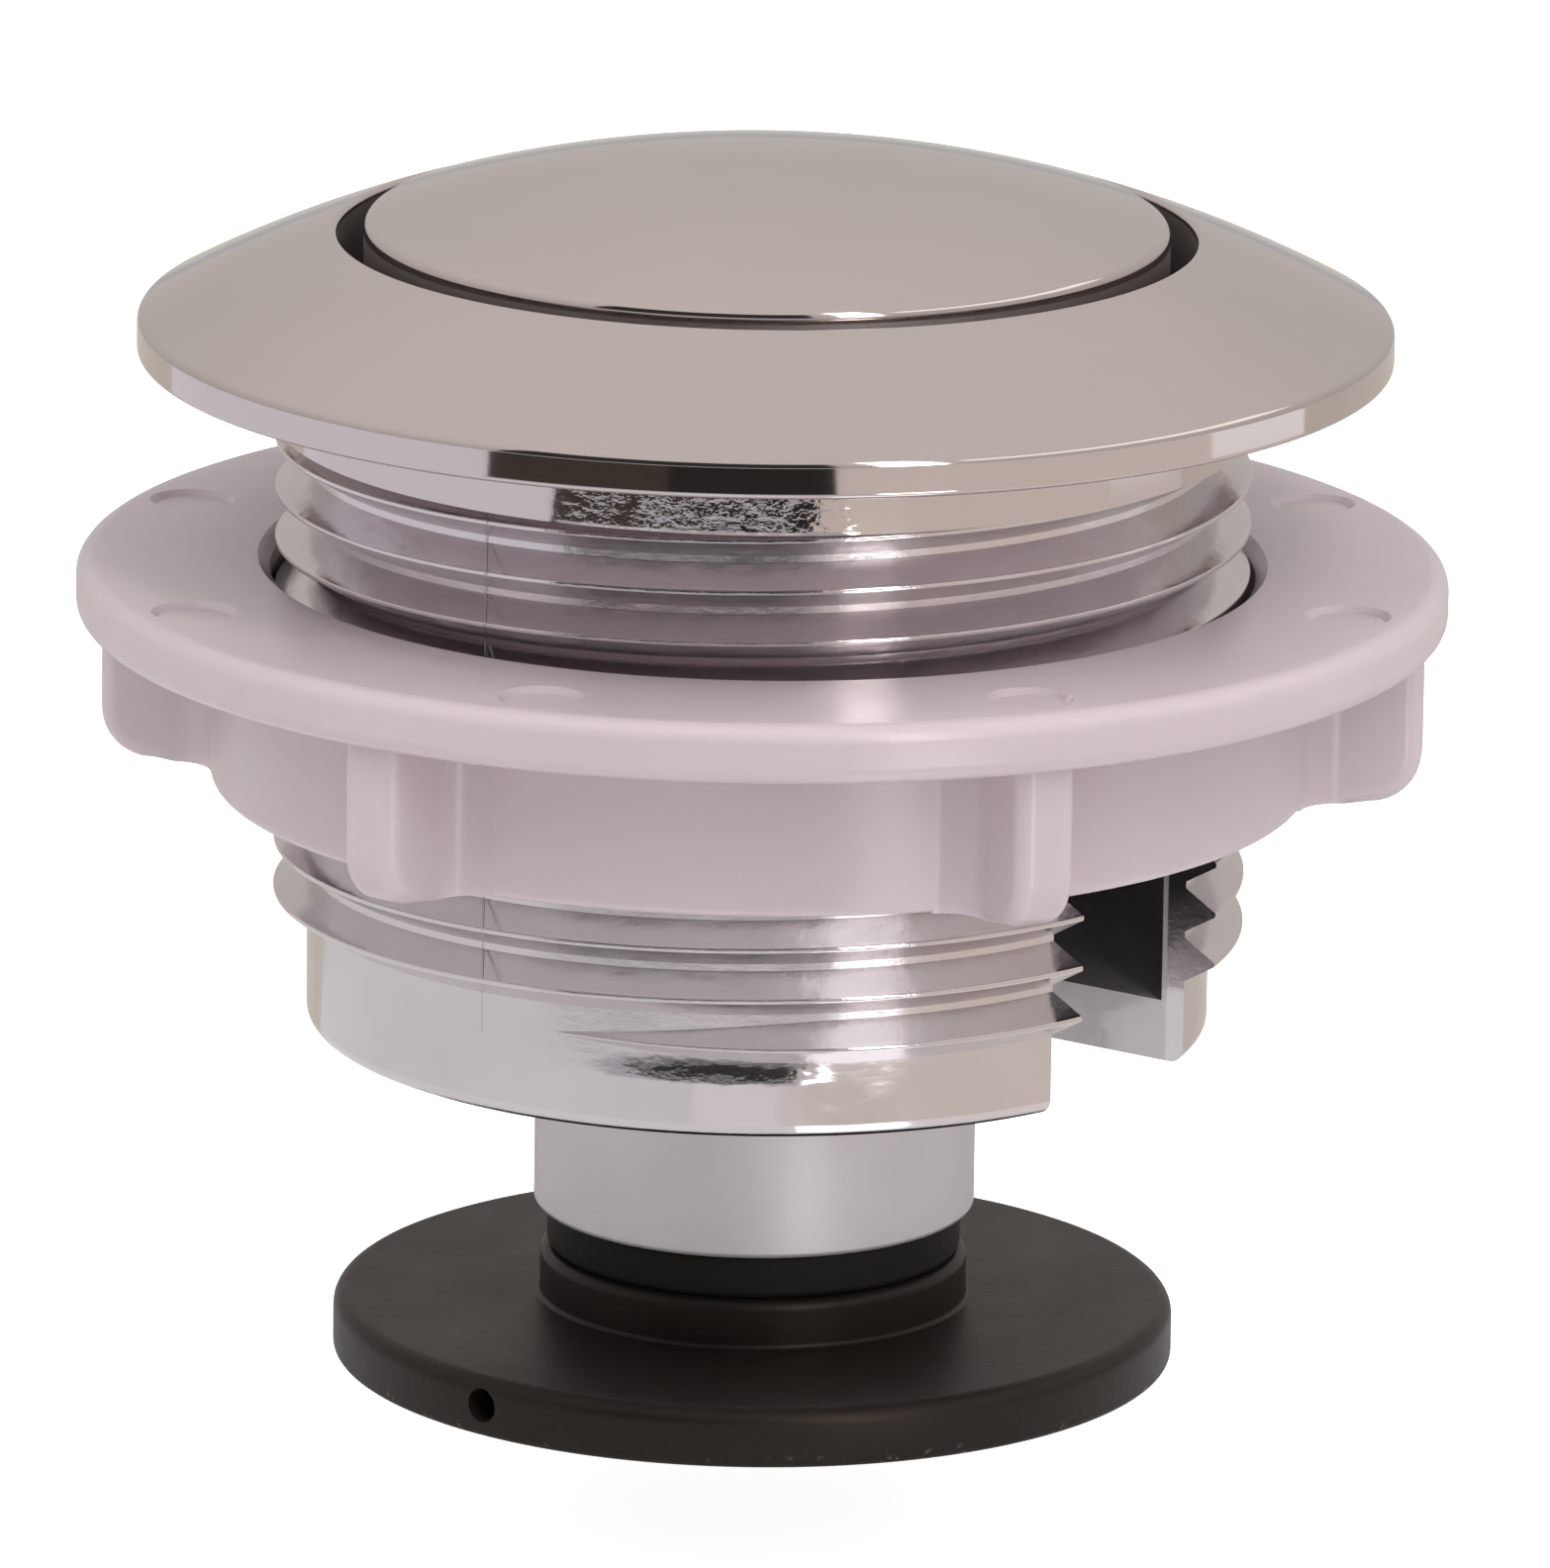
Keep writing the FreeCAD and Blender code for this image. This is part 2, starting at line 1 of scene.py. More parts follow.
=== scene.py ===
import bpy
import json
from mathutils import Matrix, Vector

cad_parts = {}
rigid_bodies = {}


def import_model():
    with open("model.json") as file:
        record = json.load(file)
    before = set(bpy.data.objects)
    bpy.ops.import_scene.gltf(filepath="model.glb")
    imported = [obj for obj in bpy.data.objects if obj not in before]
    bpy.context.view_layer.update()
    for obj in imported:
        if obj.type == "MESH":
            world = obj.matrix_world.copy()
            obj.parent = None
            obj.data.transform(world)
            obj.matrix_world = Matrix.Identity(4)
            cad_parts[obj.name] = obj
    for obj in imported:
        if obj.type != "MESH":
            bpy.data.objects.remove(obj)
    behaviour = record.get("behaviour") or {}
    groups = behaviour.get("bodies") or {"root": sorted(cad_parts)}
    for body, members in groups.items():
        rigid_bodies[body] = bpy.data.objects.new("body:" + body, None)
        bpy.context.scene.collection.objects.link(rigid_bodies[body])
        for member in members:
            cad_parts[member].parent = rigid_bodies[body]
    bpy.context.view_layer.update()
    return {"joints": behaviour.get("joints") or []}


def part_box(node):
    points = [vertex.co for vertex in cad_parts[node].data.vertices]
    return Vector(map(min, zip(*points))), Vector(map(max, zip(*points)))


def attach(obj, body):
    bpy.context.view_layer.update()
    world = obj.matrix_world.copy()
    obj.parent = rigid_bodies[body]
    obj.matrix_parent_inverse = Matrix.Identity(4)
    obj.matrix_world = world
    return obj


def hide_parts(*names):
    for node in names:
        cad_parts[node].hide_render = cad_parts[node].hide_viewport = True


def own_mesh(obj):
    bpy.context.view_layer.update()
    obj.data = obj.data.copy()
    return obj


bl_info = {
    "name": "Push Button Cistern Actuator",
    "version": (1, 0, 0),
    "blender": (4, 5, 0),
    "location": "3D View > Sidebar > Actuator",
    "description": "Dresses the packed solids of a cistern lid's push button actuator",
    "category": "Add Mesh",
}

import json
import math

import bmesh
import bpy
from bpy.props import FloatProperty, FloatVectorProperty, IntProperty, PointerProperty
from mathutils import Quaternion, Vector

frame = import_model()

NUT_LOW, NUT_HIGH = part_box("back_nut")
RING_LOW, RING_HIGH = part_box("buffer_ring")
ROD_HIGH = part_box("push_rod")[1]
CAP_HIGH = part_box("button_cap")[1]
SPRING_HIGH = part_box("return_spring")[1]

FULL_TURN = 2 * math.pi
SAME_PLACE = 1e-6
# Steps in one turn of the pieces that are spun or wound, and along the domes' profiles.
SPUN_STEPS = 256
BEZEL_STEPS = 384
CAP_STEPS = 320
TUBE_STEPS = 192
RING_STEPS = 160
THREAD_STEPS = 160
COIL_STEPS = 48
BEZEL_DOME_STEPS = 20
CAP_DOME_STEPS = 32
# Steps of roundings and hollows, and sides of round tools and of the wire.
ROUND_SEGMENTS = 6
CORNER_SEGMENTS = 8
HOLLOW_STEPS = 12
MARK_SIDES = 64
HOLE_SIDES = 48
WIRE_SIDES = 12
# A lug's hollow starts at this share of the skirt's radius.
HOLLOW_START = 0.9998
# Rounding of the thread's crest, and the thread's width where its run-in starts, as a share.
CREST_ROUND = 0.0001
RUN_IN_WIDTH = 0.15
# Angles in degrees from which an edge is shaded sharp.
SHARP = 40
SHANK_SHARP = 32
NUT_SHARP = 30
# Where the mould's halves met, as a place across the front.
PARTING = -0.0157
# Inside this distance from the axis the plate was never polished.
INSIDE = 0.0254
# Width over which one finish goes over into another.
SOFT = 0.0003
# Places across the front between which the neck's blisters and the shank's dent rise and fade.
BLISTERS = (-0.0125, -0.0080), (0.0058, 0.0030)
DENT = (-0.0110, -0.0030), (0.0050, 0.0020)

# The world: its light on the actuator, and the wall that reflections show at the horizon and from
# the sine of an elevation up.
WORLD_LIGHT = 0.42
WALL_LOW = 0.56
WALL_HIGH = 0.75
WALL_TOP = 0.95
WALL_TINT = (1.0, 0.92, 0.877)
# The paper's own light: to the camera, in reflections and on the actuator.
PAPER_SEEN = 0.9
PAPER_MIRRORED = 0.10
PAPER_GLOW = 0.05
# Lamps: name, azimuth and elevation in degrees, distance, width and height in metres, watts, tint.
LAMPS = [
    ("lamp_key", -66, 42, 0.75, 0.12, 0.60, 1.55, (0.95, 0.94, 1.0)),
    ("lamp_left", -160, 48, 0.80, 0.60, 0.60, 1.5, (1.0, 0.97, 0.95)),
    ("lamp_right", -5, 48, 0.80, 0.60, 0.60, 1.45, (1.0, 0.96, 0.93)),
    ("lamp_top", -90, 72, 0.90, 0.80, 0.80, 1.6, (1.0, 0.99, 1.0)),
]
# Upright panels in reflections of the wall: azimuths in degrees from and to, sines of the lowest
# and highest elevation, strength.
PANELS = [
    (-138, -78, -0.30, 0.62, 0.04),
    (-68, -58, 0.08, 0.78, 7.0),
    (-50, 30, 0.45, 0.60, 1.4),
]
# Cards that lie round the actuator and only show in reflections: name, azimuths in degrees from
# and to, nearest and furthest place in metres, colour, strength.
CARDS = [
    ("card_lilac", -222, -138, 0.130, 0.60, (0.985, 0.94, 1.0), 0.79),
    ("card_brown", -138, -106, 0.235, 0.60, (1.0, 0.79, 0.65), 0.06),
    ("card_dark", -106, -78, 0.235, 0.60, (1.0, 0.92, 0.78), 0.025),
    ("card_grey", -138, -71, 0.130, 0.235, (0.98, 0.94, 1.0), 0.52),
    ("card_glint", -71, -58, 0.130, 0.235, (1.0, 0.99, 1.0), 4.0),
    ("card_soft", -58, -6, 0.130, 0.235, (1.0, 0.87, 0.80), 0.75),
    ("card_warm", -78, -6, 0.235, 0.60, (1.0, 0.87, 0.80), 0.75),
    ("card_pale", -6, 20, 0.262, 0.60, (1.0, 0.95, 0.94), 1.0),
    ("card_dim", -6, 20, 0.130, 0.262, (1.0, 0.88, 0.82), 0.72),
    ("card_shade", 20, 138, 0.075, 0.60, (1.0, 0.90, 0.81), 0.62),
    ("band_left", -222, -104, 0.075, 0.130, (1.0, 0.98, 0.99), 0.76),
    ("band_front", -104, -84, 0.075, 0.130, (1.0, 0.95, 0.95), 0.86),
    ("band_middle", -84, -72, 0.075, 0.130, (1.0, 0.91, 0.88), 0.77),
    ("band_brown", -72, -58, 0.075, 0.130, (1.0, 0.88, 0.81), 0.70),
    ("band_right", -58, 20, 0.075, 0.130, (1.0, 0.88, 0.81), 0.76),
    ("near_left", -222, -78, 0.030, 0.075, (1.0, 0.965, 0.98), 0.82),
    ("near_bright", -78, -58, 0.030, 0.075, (1.0, 0.98, 1.0), 1.85),
    ("near_right", -58, 20, 0.030, 0.075, (1.0, 0.94, 0.91), 0.88),
    ("near_shade", 20, 138, 0.030, 0.075, (1.0, 0.93, 0.90), 0.62),
]
PANEL_SOFT = 0.03
CARD_STEPS = 24
CARD_LIFT = 0.0004
# The paper lies low enough for the foot disc of a pressed button.
FLOOR_HEIGHT = -0.0106
FLOOR_RADIUS = 12.0
FLOOR_SIDES = 96
# The camera: the place that it looks at, the photograph's size, its own place, its elevation and
# roll in radians, its lens in the photograph's pixels, its sensor in millimetres and its range.
AIM = Vector((0.000904, 0, 0.03436))
PHOTO_SIZE = (1566, 1584)
CAMERA_DISTANCE = 0.89908
CAMERA_AZIMUTH = -90
CAMERA_ELEVATION = 0.255894
CAMERA_ROLL = 0.0142524
FOCAL_PIXELS = 15484.8
SENSOR = 36.0
SEEN_FROM = 0.01
SEEN_TO = 50.0


def length(name, description, default):
    """A size in metres."""
    return FloatProperty(name=name, description=description, default=default, unit="LENGTH",
                         precision=5)


def direction(name, description, degrees):
    """A direction round the Z axis, from +X."""
    return FloatProperty(name=name, description=description, default=math.radians(degrees),
                         subtype="ANGLE")


def colour(name, description, *default):
    """A colour in linear light."""
    return FloatVectorProperty(name=name, description=description, default=default,
                               subtype="COLOR", min=0, max=1)


class ActuatorBodySizes(bpy.types.PropertyGroup):
    """Sizes of the plated body."""

    dome_radius: length("Dome radius", "Sphere that bezel and cap share", 0.0764)
    dome_top: length("Dome top", "Highest point of the dome", CAP_HIGH.z)
    bezel_radius: length("Bezel radius", "Outside of the bezel", 0.0366)
    rim_depth: length("Rim depth", "Depth of the bezel's downturned rim", 0.00216)
    rim_wall: length("Rim wall", "Thickness of the bezel's rim", 0.0018)
    rim_round: length("Rim rounding", "Rounding of the bezel's lower edge", 0.00035)
    rim_shoulder: length("Rim shoulder", "Rounding of the bezel's upper edge", 0.0006)
    opening_radius: length("Opening radius", "Bore in which the cap travels", 0.0250)
    opening_round: length("Opening rounding", "Rounding of the bezel's inner edge", 0.0003)
    neck_radius: length("Neck radius", "Smooth neck above the thread", 0.02855)
    neck_bottom: length("Neck bottom", "Height at which the thread ends in the neck", 0.0563)
    root_radius: length("Root radius", "Shank at the bottom of the thread", 0.0265)
    crest_radius: length("Crest radius", "Outside of the thread", 0.0285)
    thread_pitch: length("Thread pitch", "Advance of the thread for one turn", 0.003)
    thread_crest: length("Thread crest", "Width of the thread's flat crest", 0.00025)
    thread_gap: length("Thread gap", "Width of the flat between two turns", 0.0004)
    thread_sink: length("Thread root", "How far the thread is rooted in the shank", 0.0002)
    thread_start: length("Thread start", "Height of the crest where it is first whole", 0.02605)
    thread_azimuth: direction("Thread azimuth", "Where the crest is first whole", -77)
    thread_fade: direction("Thread run-in", "Turn over which the thread rises", 48)
    shank_bottom: length("Shank bottom", "Lower end of the shank", 0.0202)
    shank_round: length("Shank rounding", "Rounding of the shank's lower edge", 0.0009)
    floor_top: length("Floor top", "Upper face of the shank's floor", 0.0238)
    slot_width: length("Slot width", "Slot through wall and floor", 0.0137)
    slot_inside: length("Slot depth", "Distance from the axis at which it ends", 0.0160)
    slot_top: length("Slot top", "Upper end of the slot", 0.0420)
    slot_azimuth: direction("Slot azimuth", "Direction of the slot", -35)
    guide_radius: length("Guide radius", "Outside of the guide tube", 0.0130)
    guide_bore: length("Guide bore", "Bore of the guide tube", 0.0114)
    guide_bottom: length("Guide bottom", "Lower end of the guide tube", RING_HIGH.z)
    guide_round: length("Guide rounding", "Rounding of the tube's lower edge", 0.00035)
    collar_height: length("Collar height", "Guide tube above the floor", 0.0030)


class ActuatorNutSizes(bpy.types.PropertyGroup):
    """Sizes of the back nut."""

    flange_radius: length("Flange radius", "Outside of the flange", NUT_HIGH.x)
    clamp_face: length("Clamp face", "Top of the flange", NUT_HIGH.z)
    flange_thickness: length("Flange thickness", "Thickness of the flange", 0.0035)
    flange_round: length("Flange rounding", "Rounding of the flange's edges", 0.0011)
    bore_radius: length("Bore radius", "Bore, clear of the thread", 0.0288)
    bore_lead: length("Bore lead", "Chamfer at the ends of the bore", 0.0007)
    skirt_radius: length("Skirt radius", "Outside of the skirt", 0.0322)
    nut_bottom: length("Nut bottom", "Lower end of the skirt", NUT_LOW.z)
    edge_round: length("Edge rounding", "Rounding of skirt and lugs", 0.00045)
    lug_radius: length("Lug radius", "Distance from the axis to a lug's end", 0.0388)
    lug_thickness: length("Lug thickness", "Thickness of a lug", 0.0036)
    lug_corner: length("Lug corner", "Rounding of a lug's lower outer corner", 0.0030)
    lug_hollow: length("Lug hollow", "Hollow between lug and skirt", 0.0024)
    lug_round: length("Lug rounding", "Rounding of a lug's outer edges", 0.0010)
    lug_azimuth: direction("Lug azimuth", "Direction of the first lug", -65)
    lugs: IntProperty(name="Lugs", description="Number of lugs", default=6, min=1)
    dimple_radius: length("Mark radius", "Ejector mark on the flange", 0.0025)
    dimple_depth: length("Mark depth", "Depth of an ejector mark", 0.00035)
    dimple_slope: length("Mark slope", "How far a mark's side leans out", 0.0004)
    dimple_place: length("Mark place", "Distance of the marks from the axis", 0.0360)
    dimples: IntProperty(name="Marks", description="Number of ejector marks", default=8, min=1)


class ActuatorButtonSizes(bpy.types.PropertyGroup):
    """Sizes of cap, push rod, buffer ring and spring."""

    cap_radius: length("Cap radius", "Outside of the cap", CAP_HIGH.x)
    cap_wall: length("Cap wall", "Wall of the cap", 0.0016)
    cap_skirt: length("Cap skirt", "Depth of the cap's side", 0.0065)
    cap_round: length("Cap rounding", "Rounding of the cap's upper edge", 0.0006)
    seat_radius: length("Seat radius", "Boss that carries the spring's upper end", 0.0161)
    seat_height: length("Seat height", "Height of the spring's upper seat", 0.0672)
    shoulder: length("Shoulder", "Height at which the boss meets the stem", ROD_HIGH.z)
    spigot_radius: length("Spigot radius", "Spigot inside the stem", 0.00925)
    spigot_bore: length("Spigot bore", "Bore of the spigot", 0.00745)
    spigot_length: length("Spigot length", "How far the spigot reaches into the stem", 0.0100)
    crown_wall: length("Crown wall", "Thickness of the cap over that bore", 0.0032)
    stem_radius: length("Stem radius", "Outside of the push rod's stem", 0.0113)
    stem_bore: length("Stem bore", "Bore of the stem", 0.0093)
    stem_floor: length("Stem floor", "Material under that bore", 0.0050)
    disc_radius: length("Disc radius", "Outside of the foot disc", ROD_HIGH.x)
    disc_thickness: length("Disc thickness", "Thickness of the foot disc", 0.0035)
    disc_shoulder: length("Disc shoulder", "Rounding of the disc's upper edge", 0.0010)
    disc_round: length("Disc rounding", "Rounding of the disc's lower edge", 0.0004)
    hub_radius: length("Hub radius", "Hub on the foot disc", 0.0126)
    hub_top: length("Hub top", "Upper end of the hub", RING_LOW.z)
    hub_round: length("Hub rounding", "Rounding of the hub's upper edge", 0.0006)
    hub_foot: length("Hub foot", "Hollow between hub and disc", 0.0003)
    pin_hole_radius: length("Hole radius", "Blind hole in the disc's edge", 0.0010)
    pin_hole_height: length("Hole height", "Height of that hole", 0.0019)
    pin_hole_depth: length("Hole depth", "Depth of that hole", 0.0070)
    pin_hole_azimuth: direction("Hole azimuth", "Direction of that hole", -129)
    ring_inside: length("Ring bore", "Bore of the buffer ring", 0.0114)
    ring_radius: length("Ring radius", "Outside of the buffer ring", RING_HIGH.x)
    ring_round: length("Ring rounding", "Rounding of the ring's outer edges", 0.0005)
    wire_radius: length("Wire radius", "Half the spring wire's thickness", 0.0006)
    close_pitch: length("End pitch", "Rise of the turn at each end of the spring", 0.0013)
    open_turns: IntProperty(name="Open turns", description="Open turns of the spring", default=5)


class ActuatorFinishes(bpy.types.PropertyGroup):
    """Colours of the finishes."""

    polished: colour("Polished plate", "Bright plate on bezel and cap", 0.64, 0.60, 0.594)
    satin: colour("Satin plate", "Plate on thread and guide tube", 0.682, 0.652, 0.666)
    nut: colour("Nut plastic", "White plastic of the nut", 0.66, 0.57, 0.605)
    black: colour("Black plastic", "Black plastic of the push rod", 0.0060, 0.0050, 0.0040)
    scuff: colour("Scuffs", "Scuffed black plastic", 0.13, 0.115, 0.105)
    rubber: colour("Rubber", "Rubber of the buffer ring", 0.008, 0.0075, 0.006)
    wire: colour("Wire", "Drawn steel wire of the spring", 0.56, 0.55, 0.54)
    paper: colour("Studio paper", "Floor of the studio", 0.82, 0.82, 0.82)


def select_points(test):
    """In edit mode, select the points whose place passes a test."""
    mesh = bmesh.from_edit_mesh(bpy.context.object.data)
    for point in mesh.verts:
        point.select = test(point.co)
    mesh.select_flush_mode()
    bmesh.update_edit_mesh(bpy.context.object.data)


def select_edges(test):
    """In edit mode, select the edges that pass a test of their two ends."""
    bpy.ops.mesh.select_mode(type="EDGE")
    bpy.ops.mesh.select_all(action="DESELECT")
    mesh = bmesh.from_edit_mesh(bpy.context.object.data)
    for edge in mesh.edges:
        edge.select = test(edge.verts[0].co, edge.verts[1].co)
    bmesh.update_edit_mesh(bpy.context.object.data)


def add(primitive, **settings):
    """Deselect everything, add a primitive and return its object."""
    bpy.ops.object.select_all(action="DESELECT")
    primitive(**settings)
    return bpy.context.object


def start_line(place):
    """Add a piece that is one selected point, in edit mode."""
    add(bpy.ops.mesh.primitive_plane_add)
    bpy.ops.object.mode_set(mode="EDIT")
    bpy.ops.mesh.select_mode(type="VERT")
    bpy.ops.mesh.select_all(action="SELECT")
    bpy.ops.mesh.merge(type="CENTER")
    bpy.ops.transform.translate(value=place)


def extrude(move):
    """In edit mode, extrude what is selected and move it."""
    bpy.ops.mesh.extrude_region_move(TRANSFORM_OT_translate={"value": move})


def draw_outline(corners, azimuth=0.0):
    """Draw a closed outline in a plane through the Z axis, from a point that is extruded on.
    A corner is (radius, height) or (radius, height, rounding)."""
    across = Vector((math.cos(azimuth), math.sin(azimuth), 0))
    places = [across * corner[0] + Vector((0, 0, corner[1])) for corner in corners]
    start_line(places[0])
    for before, after in zip(places, places[1:]):
        extrude(after - before)
    select_points(lambda co: min((co - places[0]).length, (co - places[-1]).length) < SAME_PLACE)
    bpy.ops.mesh.edge_face_add()
    for index, corner in enumerate(corners):
        if len(corner) == 3:
            round_corner(places, index, corner[2])


def round_corner(places, index, radius):
    """Round one corner of the outline that is being drawn."""
    corner = places[index]
    before = corner - places[index - 1]
    after = places[(index + 1) % len(places)] - corner
    select_points(lambda co: (co - corner).length < SAME_PLACE)
    offset = radius * math.tan(before.angle(after) / 2)
    bpy.ops.mesh.bevel(offset=offset, segments=ROUND_SEGMENTS, affect="VERTICES")


def face_outwards():
    """In edit mode, merge doubles and turn all faces outwards."""
    bpy.ops.mesh.select_all(action="SELECT")
    bpy.ops.mesh.remove_doubles(threshold=SAME_PLACE)
    bpy.ops.mesh.normals_make_consistent(inside=False)


def lathe(corners, steps=SPUN_STEPS):
    """Spin a closed outline about the Z axis."""
    draw_outline(corners)
    bpy.ops.mesh.select_all(action="SELECT")
    bpy.ops.mesh.spin(steps=steps, angle=FULL_TURN, center=(0, 0, 0), axis=(0, 0, 1))
    face_outwards()
    bpy.ops.object.mode_set(mode="OBJECT")
    return bpy.context.object


def wind(piece, turns, pitch, steps):
    """Wind a profile round the Z axis, with a number of steps for each turn."""
    steps = round(turns * steps)
    apply_modifier(piece, "SCREW", angle=turns * FULL_TURN, screw_offset=turns * pitch,
                   steps=steps, render_steps=steps, use_normal_calculate=True)


def close_ends():
    """Fill the two open ends of a wound piece."""
    bpy.ops.object.mode_set(mode="EDIT")
    bpy.ops.mesh.select_all(action="SELECT")
    bpy.ops.mesh.fill_holes(sides=0)
    face_outwards()
    bpy.ops.object.mode_set(mode="OBJECT")


def apply_modifier(piece, kind, **settings):
    """Add a modifier, set it up and apply it."""
    bpy.context.view_layer.objects.active = piece
    bpy.ops.object.modifier_add(type=kind)
    modifier = piece.modifiers[-1]
    for name, value in settings.items():
        setattr(modifier, name, value)
    bpy.ops.object.modifier_apply(modifier=modifier.name)


def combine(piece, tool, operation):
    """Cut a tool out of a piece, or melt it in, and remove the tool."""
    apply_modifier(piece, "BOOLEAN", operation=operation, object=tool, solver="EXACT")
    bpy.data.objects.remove(tool)


def finish_piece(piece, name, material, body, node, sharp=SHARP):
    """Shade a piece, give it its name, finish and body, and hide the solid that it stands for."""
    bpy.ops.object.select_all(action="DESELECT")
    piece.select_set(True)
    bpy.context.view_layer.objects.active = piece
    bpy.ops.object.transform_apply(location=True, rotation=True, scale=True)
    bpy.ops.object.shade_smooth_by_angle(angle=math.radians(sharp))
    apply_modifier(piece, "WEIGHTED_NORMAL", keep_sharp=True)
    piece.name = name
    piece.data.name = name
    piece.data.materials.clear()
    piece.data.materials.append(material)
    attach(piece, body)
    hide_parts(node)


def place_at(radius, azimuth, height):
    """A place at a distance from the Z axis, in a direction and at a height."""
    return radius * math.cos(azimuth), radius * math.sin(azimuth), height


def dome_height(radius, wall=0.0):
    """Height of the dome's sphere, or of one a wall under it, at a distance from the axis."""
    sizes = bpy.context.scene.actuator_body
    centre = sizes.dome_top - sizes.dome_radius
    return centre + math.sqrt((sizes.dome_radius - wall) ** 2 - radius ** 2)


def dome_line(outer, inner, steps):
    """Points on the dome's sphere between two distances from the axis, without the first."""
    radii = [outer + (inner - outer) * step / steps for step in range(1, steps + 1)]
    return [(radius, dome_height(radius)) for radius in radii]


class Link:
    """An output of a shader's node. Numbers and links are added and multiplied as in a sum."""

    def __init__(self, shader, socket):
        self.shader = shader
        self.socket = socket

    def maths(self, operation, *values):
        """Work out a Math node of the values."""
        settings = {"operation": operation}
        return self.shader.node("ShaderNodeMath", settings, dict(enumerate(values)))

    def __add__(self, other):
        return self.maths("ADD", self, other)

    def __radd__(self, other):
        return self.maths("ADD", other, self)

    def __sub__(self, other):
        return self.maths("SUBTRACT", self, other)

    def __rsub__(self, other):
        return self.maths("SUBTRACT", other, self)

    def __mul__(self, other):
        return self.maths("MULTIPLY", self, other)

    def __rmul__(self, other):
        return self.maths("MULTIPLY", other, self)

    def absolute(self):
        """Its size without its sign."""
        return self.maths("ABSOLUTE", self)

    def most(self, other):
        """The larger of this and another."""
        return self.maths("MAXIMUM", self, other)

    def root(self):
        """Its square root."""
        return self.maths("SQRT", self)

    def ramp(self, low, high):
        """A soft step from 0 at low to 1 at high, or falling where low is above high."""
        settings = {"interpolation_type": "SMOOTHSTEP"}
        inputs = {"Value": self, "From Min": low, "From Max": high}
        return self.shader.node("ShaderNodeMapRange", settings, inputs)


class Shader:
    """The nodes of a material or a world, added one after another."""

    def __init__(self, name, kept=bpy.data.materials, surface="Principled BSDF"):
        self.material = kept.new(name)
        self.material.use_nodes = True
        self.tree = self.material.node_tree
        self.surface = self.tree.nodes[surface]

    def node(self, kind, settings=None, inputs=None, output=0):
        """Add a node: its settings first, then the values or links of its sockets."""
        added = self.tree.nodes.new(kind)
        for name, value in (settings or {}).items():
            setattr(added, name, value)
        for name, value in (inputs or {}).items():
            self.feed(added, name, value)
        return Link(self, added.outputs[output])

    def feed(self, node, name, value):
        """Give one socket of a node a value or a link."""
        socket = node.inputs[name]
        if isinstance(value, Link):
            self.tree.links.new(value.socket, socket)
        else:
            socket.default_value = value

    def set(self, **inputs):
        """Give sockets of the surface their values or links; base_color is Base Color."""
        for name, value in inputs.items():
            self.feed(self.surface, name.replace("_", " ").title().replace("Ior", "IOR"), value)

    def place(self):
        """Places on the piece, in metres."""
        return self.node("ShaderNodeTexCoord", output="Object")

    def axes(self):
        """The place's three numbers."""
        return [self.node("ShaderNodeSeparateXYZ", None, {0: self.place()}, axis)
                for axis in "XYZ"]

    def stretched(self, *scale):
        """Places stretched by a factor along each axis."""
        return self.node("ShaderNodeMapping", None, {"Vector": self.place(), "Scale": scale})

    def noise(self, size, detail=3.0, roughness=0.5, place=None):
        """Cloudy noise from 0 to 1, with features of about a size in metres."""
        inputs = {"Vector": place or self.place(), "Scale": 1 / size, "Detail": detail,
                  "Roughness": roughness}
        return self.node("ShaderNodeTexNoise", None, inputs)

    def blend(self, share, first, second):
        """Go from a first colour to a second with a share."""
        settings = {"data_type": "RGBA"}
        inputs = {0: share, 6: as_colour(first), 7: as_colour(second)}
        return self.node("ShaderNodeMix", settings, inputs, output=2)

    def glow(self, tone, light, strength):
        """Make the surface matt, with a light of its own."""
        self.set(base_color=(*tone, 1), roughness=1.0, specular_ior_level=0.0,
                 emission_color=(*light, 1), emission_strength=strength)

    def bump(self, height, distance):
        """Tilt the surface by a height from 0 to 1 that stands for a distance in metres."""
        inputs = {"Height": height, "Distance": distance, "Strength": 1.0}
        self.set(normal=self.node("ShaderNodeBump", None, inputs))


def as_colour(value):
    """A colour with its fourth number, or a link as it is."""
    return value if isinstance(value, Link) else (*value, 1.0)


def shade(value, factor):
    """A colour made lighter or darker."""
    return [min(channel * factor, 1.0) for channel in value]


